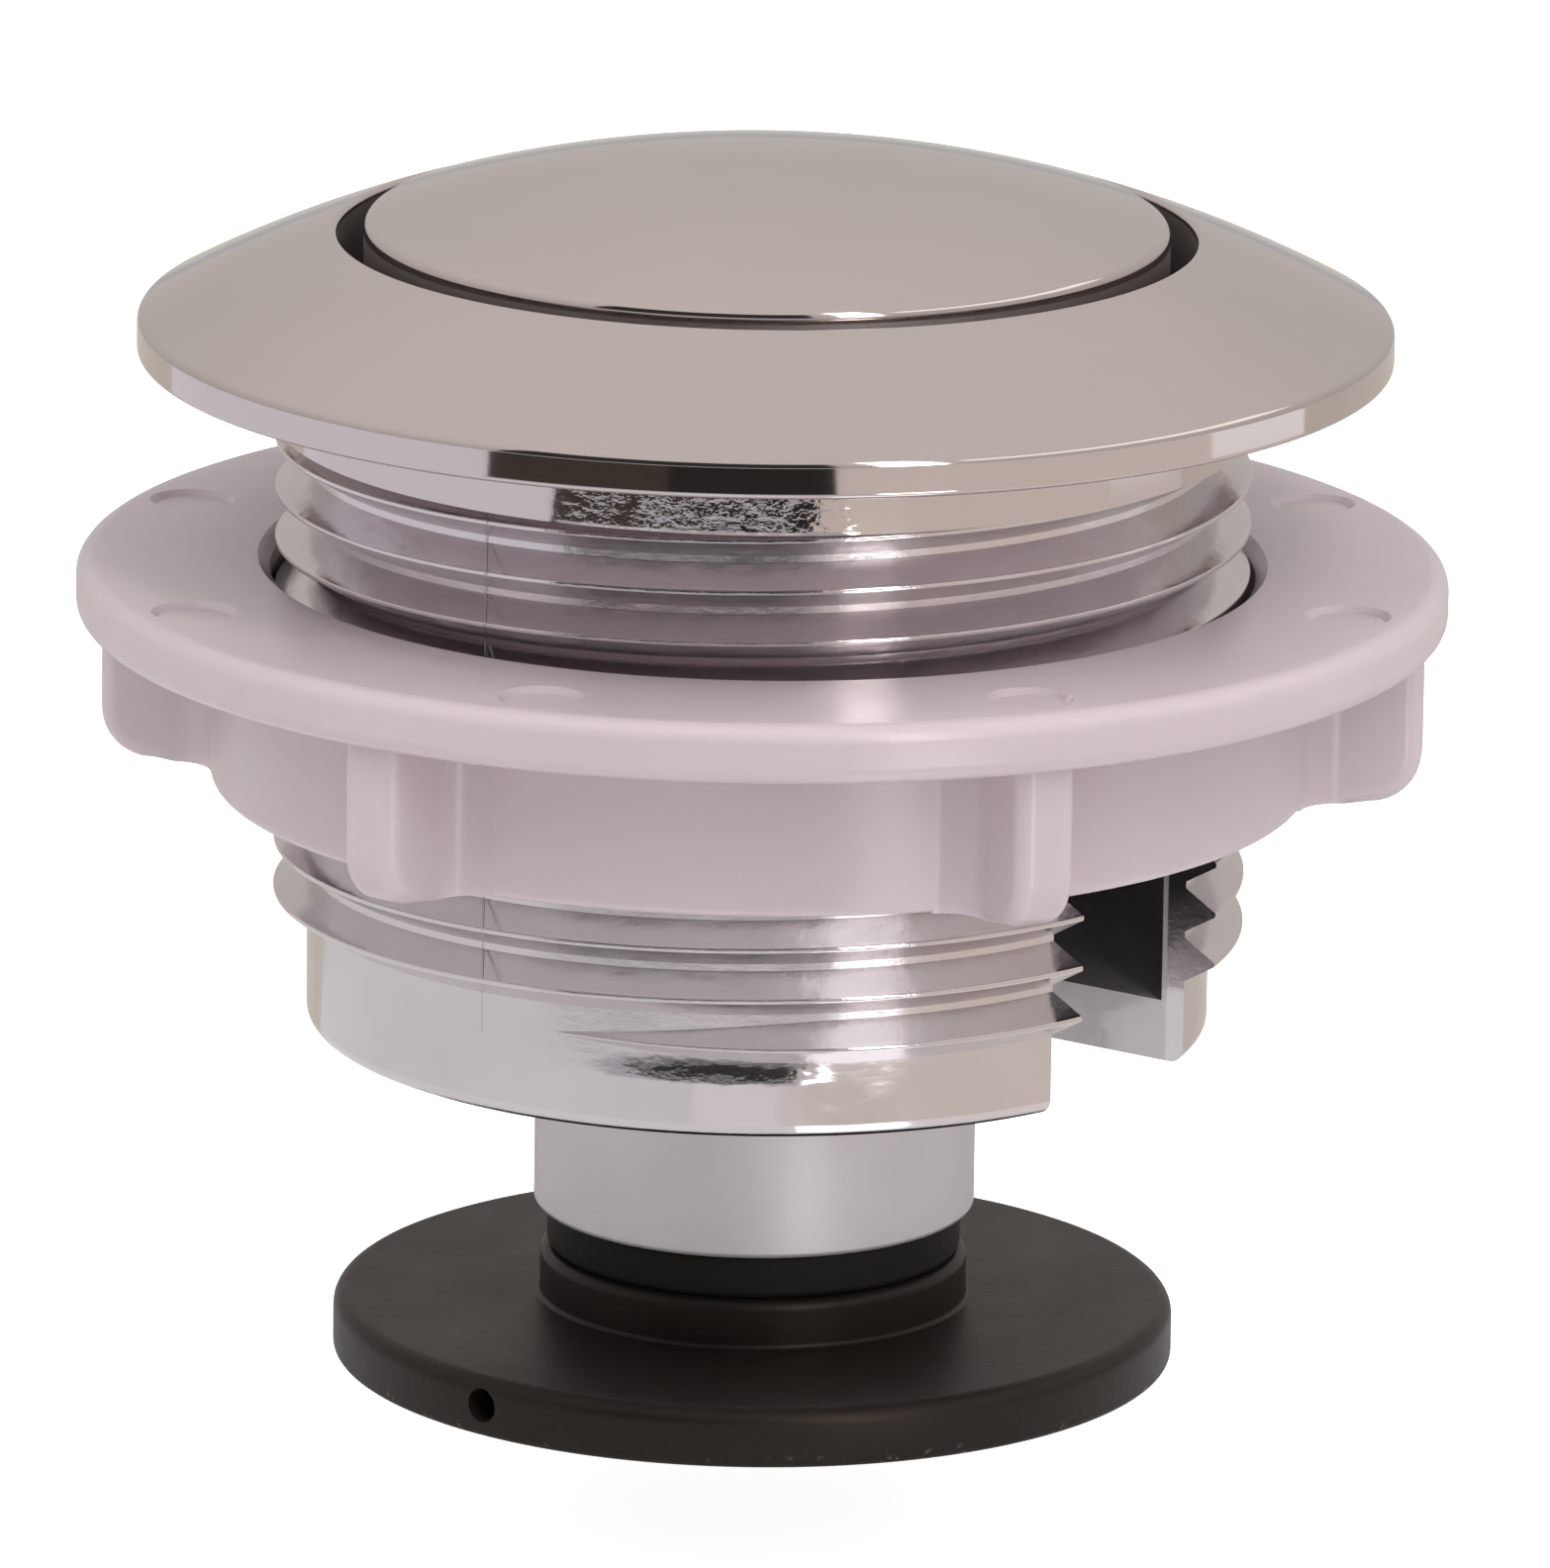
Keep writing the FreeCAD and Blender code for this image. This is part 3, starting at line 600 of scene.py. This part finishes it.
def polished_plate(name, lip, neck=None):
    """Bright plate on moulded plastic: a mirror with faint haze and a slightly uneven skin, dull
    inside and under the lip of the gap round the button. Between the two heights of a neck its
    front is blistered, as plate is on a poorly filled moulding."""
    tone = bpy.context.scene.actuator_finishes.polished
    shader = Shader(name)
    clouds = shader.noise(0.012, 4)
    fine = shader.noise(0.0007, 3)
    across, depth, height = shader.axes()
    within = (across * across + depth * depth).root().ramp(INSIDE, INSIDE - 0.0002)
    dull = within * height.ramp(lip, lip - SOFT)
    shader.set(base_color=shader.blend(clouds, shade(tone, 0.95), shade(tone, 1.05)), metallic=1.0,
               roughness=(0.045 + clouds * 0.03 + fine * 0.015) * (1 - dull) + dull * 0.42)
    skin = shader.noise(0.006, 1) * 0.4 + fine * 0.008
    if neck:
        patch = height.ramp(neck[0], neck[0] + 0.0002) * height.ramp(neck[1], neck[1] - 0.0002)
        patch *= across.ramp(*BLISTERS[0]) * across.ramp(*BLISTERS[1]) * depth.ramp(0, -0.01)
        patch *= 0.4 + shader.noise(0.0030, 2).ramp(0.35, 0.60)
        skin += shader.noise(0.0008, 2.4, place=shader.stretched(1, 1, 1.6)) * patch
    shader.bump(skin, 0.00006)
    return shader.material


def satin_plate(name, polished_below, crest):
    """Plate on the thread and the guide tube: satin, bright on the smooth lower band and on the
    thread's crest, and dull inside. The band's front has a long dent under the thread's run-in."""
    tone = bpy.context.scene.actuator_finishes.satin
    shader = Shader(name)
    across, depth, height = shader.axes()
    bright = height.ramp(polished_below + SOFT, polished_below - SOFT)
    radius = (across * across + depth * depth).root()
    dull = radius.ramp(INSIDE, INSIDE - 0.0002)
    worn = radius.ramp(crest - SOFT, crest - SOFT / 3)
    clouds = shader.noise(0.005, 4)
    grain = shader.noise(0.0003, 4, 0.6)
    satin = (0.13 + clouds * 0.06 + grain * 0.05) * (1 - worn * 0.6) + dull * 0.25
    shader.set(base_color=shader.blend(clouds, shade(tone, 0.93), shade(tone, 1.05)),
               metallic=1 - dull * 0.6,
               roughness=satin * (1 - bright) + (0.10 + clouds * 0.05) * bright)
    front = depth.ramp(0.0, -0.001)
    seam = (across - PARTING).absolute().ramp(0.00008, 0.00002) * front
    seam *= height.ramp(polished_below, polished_below + 0.0005)
    ripple = shader.noise(0.0009, 3, place=shader.stretched(1, 1, 2.5)) * (1 - bright * 0.5)
    ragged = shader.noise(0.0020, 3, 0.5, shader.stretched(1, 1, 2)) * 0.0005
    dent = (height + ragged).ramp(polished_below + 0.0008, polished_below - 0.0009)
    dent *= across.ramp(*DENT[0]) * across.ramp(*DENT[1]) * front
    shader.bump(grain * 0.1 * (1 - bright) + ripple * 0.12 + shader.noise(0.004, 2) + seam * 0.5
                + dent * 3.0, 0.00008)
    return shader.material


def white_plastic(name):
    """White moulded plastic, which lets a little light through."""
    tone = bpy.context.scene.actuator_finishes.nut
    shader = Shader(name)
    clouds = shader.noise(0.009, 4)
    grain = shader.noise(0.0005, 4, 0.6)
    shader.set(base_color=shader.blend(clouds, shade(tone, 0.97), shade(tone, 1.03)),
               roughness=0.20 + clouds * 0.05 + grain * 0.02, ior=1.5,
               subsurface_weight=0.35, subsurface_scale=0.002,
               subsurface_radius=(1.0, 0.85, 0.95))
    shader.bump(grain * 0.1 + shader.noise(0.007, 2), 0.00008)
    return shader.material


def black_plastic(name):
    """Black moulded plastic with small pale scuffs along the disc's lower edge."""
    finishes = bpy.context.scene.actuator_finishes
    shader = Shader(name)
    height = shader.axes()[2]
    clouds = shader.noise(0.006, 4)
    grain = shader.noise(0.00035, 4, 0.6)
    low = height.ramp(0.0009, 0.0002)
    nicks = shader.noise(0.0009, 3, 0.6).ramp(0.6, 0.68) * low
    haze = clouds * 0.16 + grain * 0.12
    tone = shader.blend(haze, finishes.black, shade(finishes.scuff, 0.35))
    shader.set(base_color=shader.blend(nicks, tone, finishes.scuff),
               roughness=0.30 + clouds * 0.16 + grain * 0.06, specular_ior_level=0.25,
               specular_tint=(1.0, 0.82, 0.70, 1))
    shader.bump(grain * 0.25 + clouds * 0.6, 0.00007)
    return shader.material


def black_rubber(name):
    """Matt black rubber."""
    tone = bpy.context.scene.actuator_finishes.rubber
    shader = Shader(name)
    grain = shader.noise(0.0004, 4, 0.6)
    shader.set(base_color=shader.blend(grain, shade(tone, 0.8), shade(tone, 1.6)),
               roughness=0.55 + grain * 0.15, specular_ior_level=0.2)
    shader.bump(grain, 0.00005)
    return shader.material


def drawn_wire(name):
    """Bright drawn steel wire."""
    tone = bpy.context.scene.actuator_finishes.wire
    shader = Shader(name)
    clouds = shader.noise(0.004, 3)
    grain = shader.noise(0.0003, 3)
    shader.set(base_color=shader.blend(clouds, shade(tone, 0.85), shade(tone, 1.1)),
               metallic=1.0, roughness=0.16 + grain * 0.1)
    shader.bump(grain, 0.00002)
    return shader.material


class ACTUATOR_OT_bezel(bpy.types.Operator):
    """Spin the domed bezel with its rim and neck"""

    bl_idname = "actuator.add_bezel"
    bl_label = "Bezel"

    def execute(self, context):
        sizes = context.scene.actuator_body
        rim_inside = sizes.bezel_radius - sizes.rim_wall
        under = sizes.rim_wall
        lid_face = dome_height(sizes.bezel_radius) - sizes.rim_depth
        dome = dome_line(sizes.bezel_radius, sizes.opening_radius, BEZEL_DOME_STEPS)
        inner_edge = (*dome.pop(), sizes.opening_round)
        piece = lathe([
            (sizes.opening_radius, sizes.neck_bottom),
            (sizes.neck_radius, sizes.neck_bottom),
            (sizes.neck_radius, dome_height(sizes.neck_radius, under)),
            (rim_inside, dome_height(rim_inside, under)),
            (rim_inside, lid_face),
            (sizes.bezel_radius, lid_face, sizes.rim_round),
            (sizes.bezel_radius, dome_height(sizes.bezel_radius), sizes.rim_shoulder),
            *dome,
            inner_edge,
        ], BEZEL_STEPS)
        lip = dome_height(sizes.opening_radius) - sizes.opening_round
        plate = polished_plate("bezel_plate", lip, (sizes.neck_bottom, lid_face - SOFT))
        finish_piece(piece, "bezel", plate, "body", "sleeve_body")
        return {"FINISHED"}


class ACTUATOR_OT_shank(bpy.types.Operator):
    """Spin the shank, wind its thread and cut its slot"""

    bl_idname = "actuator.add_shank"
    bl_label = "Threaded Shank"

    def execute(self, context):
        sizes = context.scene.actuator_body
        piece = lathe([
            (sizes.guide_radius, sizes.shank_bottom),
            (sizes.root_radius, sizes.shank_bottom, sizes.shank_round),
            (sizes.root_radius, sizes.neck_bottom),
            (sizes.opening_radius, sizes.neck_bottom),
            (sizes.opening_radius, sizes.floor_top),
            (sizes.guide_radius, sizes.floor_top),
        ])
        combine(piece, wind_thread(sizes), "UNION")
        combine(piece, slot_tool(sizes), "DIFFERENCE")
        plate = satin_plate("shank_plate", sizes.thread_start - sizes.thread_pitch / 2,
                            sizes.crest_radius)
        finish_piece(piece, "threaded_shank", plate, "body", "sleeve_body",
                     SHANK_SHARP)
        return {"FINISHED"}


def wind_thread(sizes):
    """Wind the thread's ridge up to the neck, and sink its lower end into the shank."""
    root = sizes.root_radius - sizes.thread_sink
    depth = sizes.crest_radius - sizes.root_radius
    half_crest = sizes.thread_crest / 2
    half_root = (sizes.thread_pitch - sizes.thread_gap) / 2
    half_base = half_root + sizes.thread_sink * (half_root - half_crest) / depth
    rise = sizes.thread_pitch / FULL_TURN
    first = sizes.thread_azimuth - sizes.thread_fade
    low = sizes.thread_start - rise * sizes.thread_fade
    turns = (sizes.neck_bottom + sizes.thread_pitch / 2 - low) / sizes.thread_pitch
    draw_outline([
        (root, low - half_base),
        (sizes.crest_radius, low - half_crest, CREST_ROUND),
        (sizes.crest_radius, low + half_crest, CREST_ROUND),
        (root, low + half_base),
    ], first)
    bpy.ops.object.mode_set(mode="OBJECT")
    ridge = bpy.context.object
    wind(ridge, turns, sizes.thread_pitch, THREAD_STEPS)
    for point in ridge.data.vertices:
        azimuth = math.atan2(point.co.y, point.co.x)
        turned = azimuth - first
        whole = round((point.co.z - low - rise * turned) / sizes.thread_pitch)
        turned += whole * FULL_TURN
        share = min(max(turned / sizes.thread_fade, 0), 1)
        share *= share * (3 - 2 * share)
        middle = low + rise * turned
        radius = root + (math.hypot(point.co.x, point.co.y) - root) * share
        width = RUN_IN_WIDTH + (1 - RUN_IN_WIDTH) * share
        point.co = place_at(radius, azimuth, middle + (point.co.z - middle) * width)
    close_ends()
    return ridge


def slot_tool(sizes):
    """A block as wide as the slot, from under the shank to the slot's top."""
    reach = sizes.bezel_radius - sizes.slot_inside
    place = place_at(sizes.slot_inside + reach / 2, sizes.slot_azimuth, sizes.slot_top / 2)
    return add(bpy.ops.mesh.primitive_cube_add, size=1, location=place,
               rotation=(0, 0, sizes.slot_azimuth),
               scale=(reach, sizes.slot_width, sizes.slot_top))


class ACTUATOR_OT_guide_tube(bpy.types.Operator):
    """Spin the guide tube below and above the shank's floor"""

    bl_idname = "actuator.add_guide_tube"
    bl_label = "Guide Tube"

    def execute(self, context):
        sizes = context.scene.actuator_body
        top = sizes.floor_top + sizes.collar_height
        piece = lathe([
            (sizes.guide_bore, sizes.guide_bottom),
            (sizes.guide_radius, sizes.guide_bottom, sizes.guide_round),
            (sizes.guide_radius, top),
            (sizes.guide_bore, top),
        ], TUBE_STEPS)
        plate = satin_plate("guide_plate", 0.0, sizes.crest_radius)
        finish_piece(piece, "guide_tube", plate, "body", "sleeve_body")
        return {"FINISHED"}


class ACTUATOR_OT_back_nut(bpy.types.Operator):
    """Spin the nut, add its lugs and press in its ejector marks"""

    bl_idname = "actuator.add_back_nut"
    bl_label = "Back Nut"

    def execute(self, context):
        sizes = context.scene.actuator_nut
        flange_bottom = sizes.clamp_face - sizes.flange_thickness
        bore_end = sizes.bore_radius + sizes.bore_lead
        piece = lathe([
            (bore_end, sizes.nut_bottom),
            (sizes.skirt_radius, sizes.nut_bottom, sizes.edge_round),
            (sizes.skirt_radius, flange_bottom),
            (sizes.flange_radius, flange_bottom, sizes.flange_round),
            (sizes.flange_radius, sizes.clamp_face, sizes.flange_round),
            (bore_end, sizes.clamp_face),
            (sizes.bore_radius, sizes.clamp_face - sizes.bore_lead),
            (sizes.bore_radius, sizes.nut_bottom + sizes.bore_lead),
        ])
        for index in range(sizes.lugs):
            azimuth = sizes.lug_azimuth + index * FULL_TURN / sizes.lugs
            combine(piece, make_lug(sizes, azimuth), "UNION")
        for index in range(sizes.dimples):
            azimuth = sizes.lug_azimuth + index * FULL_TURN / sizes.dimples
            mark = add(bpy.ops.mesh.primitive_cone_add, vertices=MARK_SIDES,
                       radius1=sizes.dimple_radius - sizes.dimple_slope,
                       radius2=sizes.dimple_radius + sizes.dimple_slope,
                       depth=sizes.dimple_depth * 2,
                       location=place_at(sizes.dimple_place, azimuth, sizes.clamp_face))
            combine(piece, mark, "DIFFERENCE")
        finish_piece(piece, "back_nut_shell", white_plastic("nut_plastic"), "nut", "back_nut",
                     NUT_SHARP)
        return {"FINISHED"}


def make_lug(sizes, azimuth):
    """One lug: a plate with hollows to the skirt and a rounded lower corner."""
    half = sizes.lug_thickness / 2
    hollow = sizes.lug_hollow
    side = half + hollow
    reach = math.sqrt((sizes.skirt_radius + hollow) ** 2 - side ** 2)
    meet = math.atan2(side, reach)
    inside = (sizes.bore_radius + sizes.skirt_radius) / 2
    upper = [(inside, sizes.skirt_radius / (sizes.skirt_radius + hollow) * side)]
    for step in range(HOLLOW_STEPS + 1):
        angle = math.pi + meet + (math.pi / 2 - meet) * step / HOLLOW_STEPS
        upper.append((reach + hollow * math.cos(angle), side + hollow * math.sin(angle)))
    # The hollow starts just under the skirt's surface, so the two meet cleanly.
    upper[1] = (upper[1][0] * HOLLOW_START, upper[1][1] * HOLLOW_START)
    upper.append((sizes.lug_radius, half))
    plan = [(x, -y) for x, y in upper] + upper[::-1]
    top = sizes.clamp_face - sizes.flange_thickness / 2
    start_line((*plan[0], sizes.nut_bottom))
    for before, after in zip(plan, plan[1:]):
        extrude((after[0] - before[0], after[1] - before[1], 0))
    bpy.ops.mesh.select_all(action="SELECT")
    bpy.ops.mesh.edge_face_add()
    extrude((0, 0, top - sizes.nut_bottom))
    face_outwards()
    at_end = sizes.lug_radius - SAME_PLACE
    at_bottom = sizes.nut_bottom + SAME_PLACE
    select_edges(lambda a, b: min(a.x, b.x) > at_end and max(a.z, b.z) < at_bottom)
    bpy.ops.mesh.bevel(offset=sizes.lug_corner, segments=CORNER_SEGMENTS, affect="EDGES")
    skirt = sizes.skirt_radius + sizes.edge_round
    select_edges(lambda a, b: min(a.x, b.x) > skirt and max(a.z, b.z) < top - SAME_PLACE
                 and abs(a.y - b.y) < SAME_PLACE and min(abs(a.y), abs(b.y)) > half - SAME_PLACE
                 or min(a.x, b.x) > at_end and abs(a.y - b.y) < SAME_PLACE)
    bpy.ops.mesh.bevel(offset=sizes.lug_round, segments=ROUND_SEGMENTS, affect="EDGES")
    bpy.ops.object.mode_set(mode="OBJECT")
    lug = bpy.context.object
    lug.rotation_euler.z = azimuth
    bpy.ops.object.transform_apply(location=False, rotation=True, scale=False)
    return lug


class ACTUATOR_OT_button_cap(bpy.types.Operator):
    """Spin the domed cap with its skirt, spring seat and spigot"""

    bl_idname = "actuator.add_button_cap"
    bl_label = "Button Cap"

    def execute(self, context):
        sizes = context.scene.actuator_button
        wall = sizes.cap_wall
        inside = sizes.cap_radius - wall
        dome_top = context.scene.actuator_body.dome_top
        edge = dome_height(sizes.cap_radius)
        spigot_bottom = sizes.shoulder - sizes.spigot_length
        dome = dome_line(0.0, sizes.cap_radius, CAP_DOME_STEPS)
        dome.pop()
        piece = lathe([
            (0.0, dome_top),
            *dome,
            (sizes.cap_radius, edge, sizes.cap_round),
            (sizes.cap_radius, edge - sizes.cap_skirt),
            (inside, edge - sizes.cap_skirt),
            (inside, dome_height(inside, wall)),
            (sizes.seat_radius, dome_height(sizes.seat_radius, wall)),
            (sizes.seat_radius, sizes.seat_height),
            (sizes.stem_radius, sizes.seat_height),
            (sizes.stem_radius, sizes.shoulder),
            (sizes.spigot_radius, sizes.shoulder),
            (sizes.spigot_radius, spigot_bottom),
            (sizes.spigot_bore, spigot_bottom),
            (sizes.spigot_bore, dome_top - sizes.crown_wall),
            (0.0, dome_top - sizes.crown_wall),
        ], CAP_STEPS)
        plate = polished_plate("cap_plate", edge - sizes.cap_round)
        finish_piece(piece, "button_cap_shell", plate, "button", "button_cap")
        return {"FINISHED"}


class ACTUATOR_OT_push_rod(bpy.types.Operator):
    """Spin the push rod's disc, hub and stem, and drill the hole in the disc's edge"""

    bl_idname = "actuator.add_push_rod"
    bl_label = "Push Rod"

    def execute(self, context):
        sizes = context.scene.actuator_button
        piece = lathe([
            (0.0, 0.0),
            (sizes.disc_radius, 0.0, sizes.disc_round),
            (sizes.disc_radius, sizes.disc_thickness, sizes.disc_shoulder),
            (sizes.hub_radius, sizes.disc_thickness, sizes.hub_foot),
            (sizes.hub_radius, sizes.hub_top, sizes.hub_round),
            (sizes.stem_radius, sizes.hub_top),
            (sizes.stem_radius, sizes.shoulder),
            (sizes.stem_bore, sizes.shoulder),
            (sizes.stem_bore, sizes.stem_floor),
            (0.0, sizes.stem_floor),
        ])
        azimuth = sizes.pin_hole_azimuth
        drill = add(bpy.ops.mesh.primitive_cylinder_add, vertices=HOLE_SIDES,
                    radius=sizes.pin_hole_radius, depth=sizes.pin_hole_depth * 2,
                    location=place_at(sizes.disc_radius, azimuth, sizes.pin_hole_height),
                    rotation=(0, math.pi / 2, azimuth))
        combine(piece, drill, "DIFFERENCE")
        finish_piece(piece, "push_rod_moulding", black_plastic("rod_plastic"), "button", "push_rod")
        return {"FINISHED"}


class ACTUATOR_OT_buffer_ring(bpy.types.Operator):
    """Spin the rubber ring between hub and guide tube"""

    bl_idname = "actuator.add_buffer_ring"
    bl_label = "Buffer Ring"

    def execute(self, context):
        sizes = context.scene.actuator_button
        top = context.scene.actuator_body.guide_bottom
        piece = lathe([
            (sizes.ring_inside, sizes.hub_top),
            (sizes.ring_radius, sizes.hub_top, sizes.ring_round),
            (sizes.ring_radius, top, sizes.ring_round),
            (sizes.ring_inside, top),
        ], RING_STEPS)
        finish_piece(piece, "rubber_ring", black_rubber("ring_rubber"), "button", "buffer_ring")
        return {"FINISHED"}


class ACTUATOR_OT_return_spring(bpy.types.Operator):
    """Wind the spring that brings the button back up"""

    bl_idname = "actuator.add_return_spring"
    bl_label = "Return Spring"

    def execute(self, context):
        sizes = context.scene.actuator_button
        wire = sizes.wire_radius
        coil_radius = SPRING_HIGH.x - wire
        low = context.scene.actuator_body.floor_top + wire
        high = sizes.seat_height - wire
        turns = sizes.open_turns + 2
        open_pitch = (high - low - 2 * sizes.close_pitch) / sizes.open_turns
        coil = add(bpy.ops.mesh.primitive_circle_add, vertices=WIRE_SIDES, radius=wire,
                   location=(coil_radius, 0, low), rotation=(math.pi / 2, 0, 0))
        bpy.ops.object.transform_apply(location=True, rotation=True, scale=True)
        wind(coil, turns, sizes.close_pitch, COIL_STEPS)
        for point in coil.data.vertices:
            azimuth = math.atan2(point.co.y, point.co.x) / FULL_TURN
            whole = round((point.co.z - low) / sizes.close_pitch - azimuth)
            opened = min(max(azimuth + whole - 1, 0), sizes.open_turns)
            point.co.z += opened * (open_pitch - sizes.close_pitch)
        close_ends()
        finish_piece(coil, "spring_coil", drawn_wire("spring_wire"), "body", "return_spring")
        press = next(joint for joint in frame["joints"] if joint["name"] == "button_press")
        floor = context.scene.actuator_body.floor_top
        room = sizes.seat_height - floor
        (room + press["range_m"][0]) / room
        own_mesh(coil)
        return {"FINISHED"}


class ACTUATOR_OT_stage(bpy.types.Operator):
    """Lay the floor, place the lamps and set up the camera and the world"""

    bl_idname = "actuator.add_stage"
    bl_label = "Stage"

    def execute(self, context):
        lay_floor()
        light_world(context.scene)
        for lamp in LAMPS:
            add_lamp(*lamp)
        for card in CARDS:
            add_card(*card)
        add_camera(context.scene)
        context.scene.view_settings.view_transform = "Standard"
        return {"FINISHED"}


def out_from(centre, azimuth, elevation, distance):
    """A place at a distance from a centre, in a direction given in degrees."""
    around, up = math.radians(azimuth), math.radians(elevation)
    away = Vector((math.cos(around) * math.cos(up), math.sin(around) * math.cos(up), math.sin(up)))
    return centre + away * distance


def add_lamp(name, azimuth, elevation, distance, width, height, power, tint):
    """Add a soft rectangular lamp that points at the actuator and isn't seen in reflections."""
    place = out_from(AIM, azimuth, elevation, distance)
    turn = (place - AIM).to_track_quat("Z", "Y").to_euler()
    bpy.ops.object.light_add(type="AREA", location=place, rotation=turn)
    lamp = bpy.context.object
    lamp.name = name
    lamp.data.shape = "RECTANGLE"
    lamp.data.size = width
    lamp.data.size_y = height
    lamp.data.energy = power
    lamp.data.color = tint
    lamp.visible_glossy = False


def add_card(name, first, last, near, far, tone, strength):
    """Lay a sector of a ring on the floor that only shows in reflections."""
    base = Vector((0, 0, CARD_LIFT))
    start_line(out_from(base, last, 0, near))
    extrude(out_from(base, last, 0, far) - out_from(base, last, 0, near))
    bpy.ops.mesh.select_all(action="SELECT")
    bpy.ops.mesh.spin(steps=CARD_STEPS, angle=math.radians(last - first), center=(0, 0, 0),
                      axis=(0, 0, 1))
    bpy.ops.object.mode_set(mode="OBJECT")
    card = bpy.context.object
    card.name = name
    shader = Shader(name)
    shader.glow((0, 0, 0), tone, strength)
    card.data.materials.append(shader.material)
    for rays in ("camera", "diffuse", "shadow", "transmission"):
        setattr(card, f"visible_{rays}", False)


def lay_floor():
    """Lay a wide sheet of paper, white to the camera and with the actuator's shadow."""
    tone = bpy.context.scene.actuator_finishes.paper
    floor = add(bpy.ops.mesh.primitive_circle_add, vertices=FLOOR_SIDES, radius=FLOOR_RADIUS,
                fill_type="NGON", location=(0, 0, FLOOR_HEIGHT))
    floor.name = "floor"
    shader = Shader("studio_paper")
    seen = shader.node("ShaderNodeLightPath", output="Is Camera Ray")
    mirrored = shader.node("ShaderNodeLightPath", output="Is Glossy Ray")
    glow = PAPER_GLOW + seen * (PAPER_SEEN - PAPER_GLOW) + mirrored * (PAPER_MIRRORED - PAPER_GLOW)
    shader.glow(tone, (1, 1, 1), glow)
    floor.data.materials.append(shader.material)


def light_world(scene):
    """A pale world: white to the camera, soft light on the rest, and in reflections a wall that
    grows lighter from the horizon up, with upright panels."""
    shader = Shader("studio", bpy.data.worlds, "Background")
    scene.world = shader.material
    camera, glossy, clear = [shader.node("ShaderNodeLightPath", output=f"Is {kind} Ray")
                             for kind in ("Camera", "Glossy", "Transmission")]
    towards = shader.node("ShaderNodeTexCoord", output="Generated")
    rise = shader.node("ShaderNodeSeparateXYZ", None, {0: towards}, "Z")
    wall = WALL_LOW + (WALL_HIGH - WALL_LOW) * rise.ramp(0.0, WALL_TOP)
    across, depth = [shader.node("ShaderNodeSeparateXYZ", None, {0: towards}, axis)
                     for axis in "XY"]
    azimuth = depth.maths("ARCTAN2", depth, across)
    for first, last, low, high, strength in PANELS:
        first, last = math.radians(first), math.radians(last)
        panel = azimuth.ramp(first - PANEL_SOFT, first) * azimuth.ramp(last + PANEL_SOFT, last)
        panel *= rise.ramp(low - PANEL_SOFT, low) * rise.ramp(high + PANEL_SOFT, high)
        wall = wall * (1 - panel) + panel * strength
    white = camera.most(clear)
    mirrored = glossy * (1 - white)
    strength = white + mirrored * wall + (1 - white) * (1 - glossy) * WORLD_LIGHT
    shader.set(color=shader.blend(mirrored, (1, 1, 1), WALL_TINT), strength=strength)


def add_camera(scene):
    """Put the camera at the photograph's angle. Its sensor fits the picture's longer side."""
    place = out_from(AIM, CAMERA_AZIMUTH, math.degrees(CAMERA_ELEVATION), CAMERA_DISTANCE)
    bpy.ops.object.camera_add(location=place)
    camera = bpy.context.object
    camera.name = "camera"
    camera.rotation_mode = "QUATERNION"
    roll = Quaternion((0, 0, 1), CAMERA_ROLL)
    camera.rotation_quaternion = (AIM - place).to_track_quat("-Z", "Y") @ roll
    camera.data.sensor_width = SENSOR
    camera.data.lens = FOCAL_PIXELS / max(PHOTO_SIZE) * SENSOR
    camera.data.clip_start = SEEN_FROM
    camera.data.clip_end = SEEN_TO
    scene.camera = camera


PIECES = [
    ACTUATOR_OT_stage,
    ACTUATOR_OT_bezel,
    ACTUATOR_OT_shank,
    ACTUATOR_OT_guide_tube,
    ACTUATOR_OT_back_nut,
    ACTUATOR_OT_button_cap,
    ACTUATOR_OT_push_rod,
    ACTUATOR_OT_buffer_ring,
    ACTUATOR_OT_return_spring,
]
GROUPS = {
    "actuator_body": ActuatorBodySizes,
    "actuator_nut": ActuatorNutSizes,
    "actuator_button": ActuatorButtonSizes,
    "actuator_finishes": ActuatorFinishes,
}


class ACTUATOR_PT_panel(bpy.types.Panel):
    """The actuator's pieces and sizes"""

    bl_idname = "ACTUATOR_PT_panel"
    bl_label = "Cistern Actuator"
    bl_space_type = "VIEW_3D"
    bl_region_type = "UI"
    bl_category = "Actuator"

    def draw(self, context):
        for operator in PIECES:
            self.layout.operator(operator.bl_idname)
        for name, group in GROUPS.items():
            box = self.layout.box()
            for size in group.__annotations__:
                box.prop(getattr(context.scene, name), size)


def register():
    """Make the pieces and sizes known."""
    for group in GROUPS.values():
        bpy.utils.register_class(group)
    for operator in PIECES:
        bpy.utils.register_class(operator)
    bpy.utils.register_class(ACTUATOR_PT_panel)
    for name, group in GROUPS.items():
        setattr(bpy.types.Scene, name, PointerProperty(type=group))


def unregister():
    """Take them out again."""
    for name in GROUPS:
        delattr(bpy.types.Scene, name)
    bpy.utils.unregister_class(ACTUATOR_PT_panel)
    for operator in reversed(PIECES):
        bpy.utils.unregister_class(operator)
    for group in reversed(GROUPS.values()):
        bpy.utils.unregister_class(group)


def main():
    """Build everything in order."""
    register()
    for item in [item for item in bpy.data.objects if item.name in ("Cube", "Light", "Camera")]:
        bpy.data.objects.remove(item)
    for operator in PIECES:
        family, name = operator.bl_idname.split(".")
        getattr(getattr(bpy.ops, family), name)()


if __name__ == "__main__":
    main()
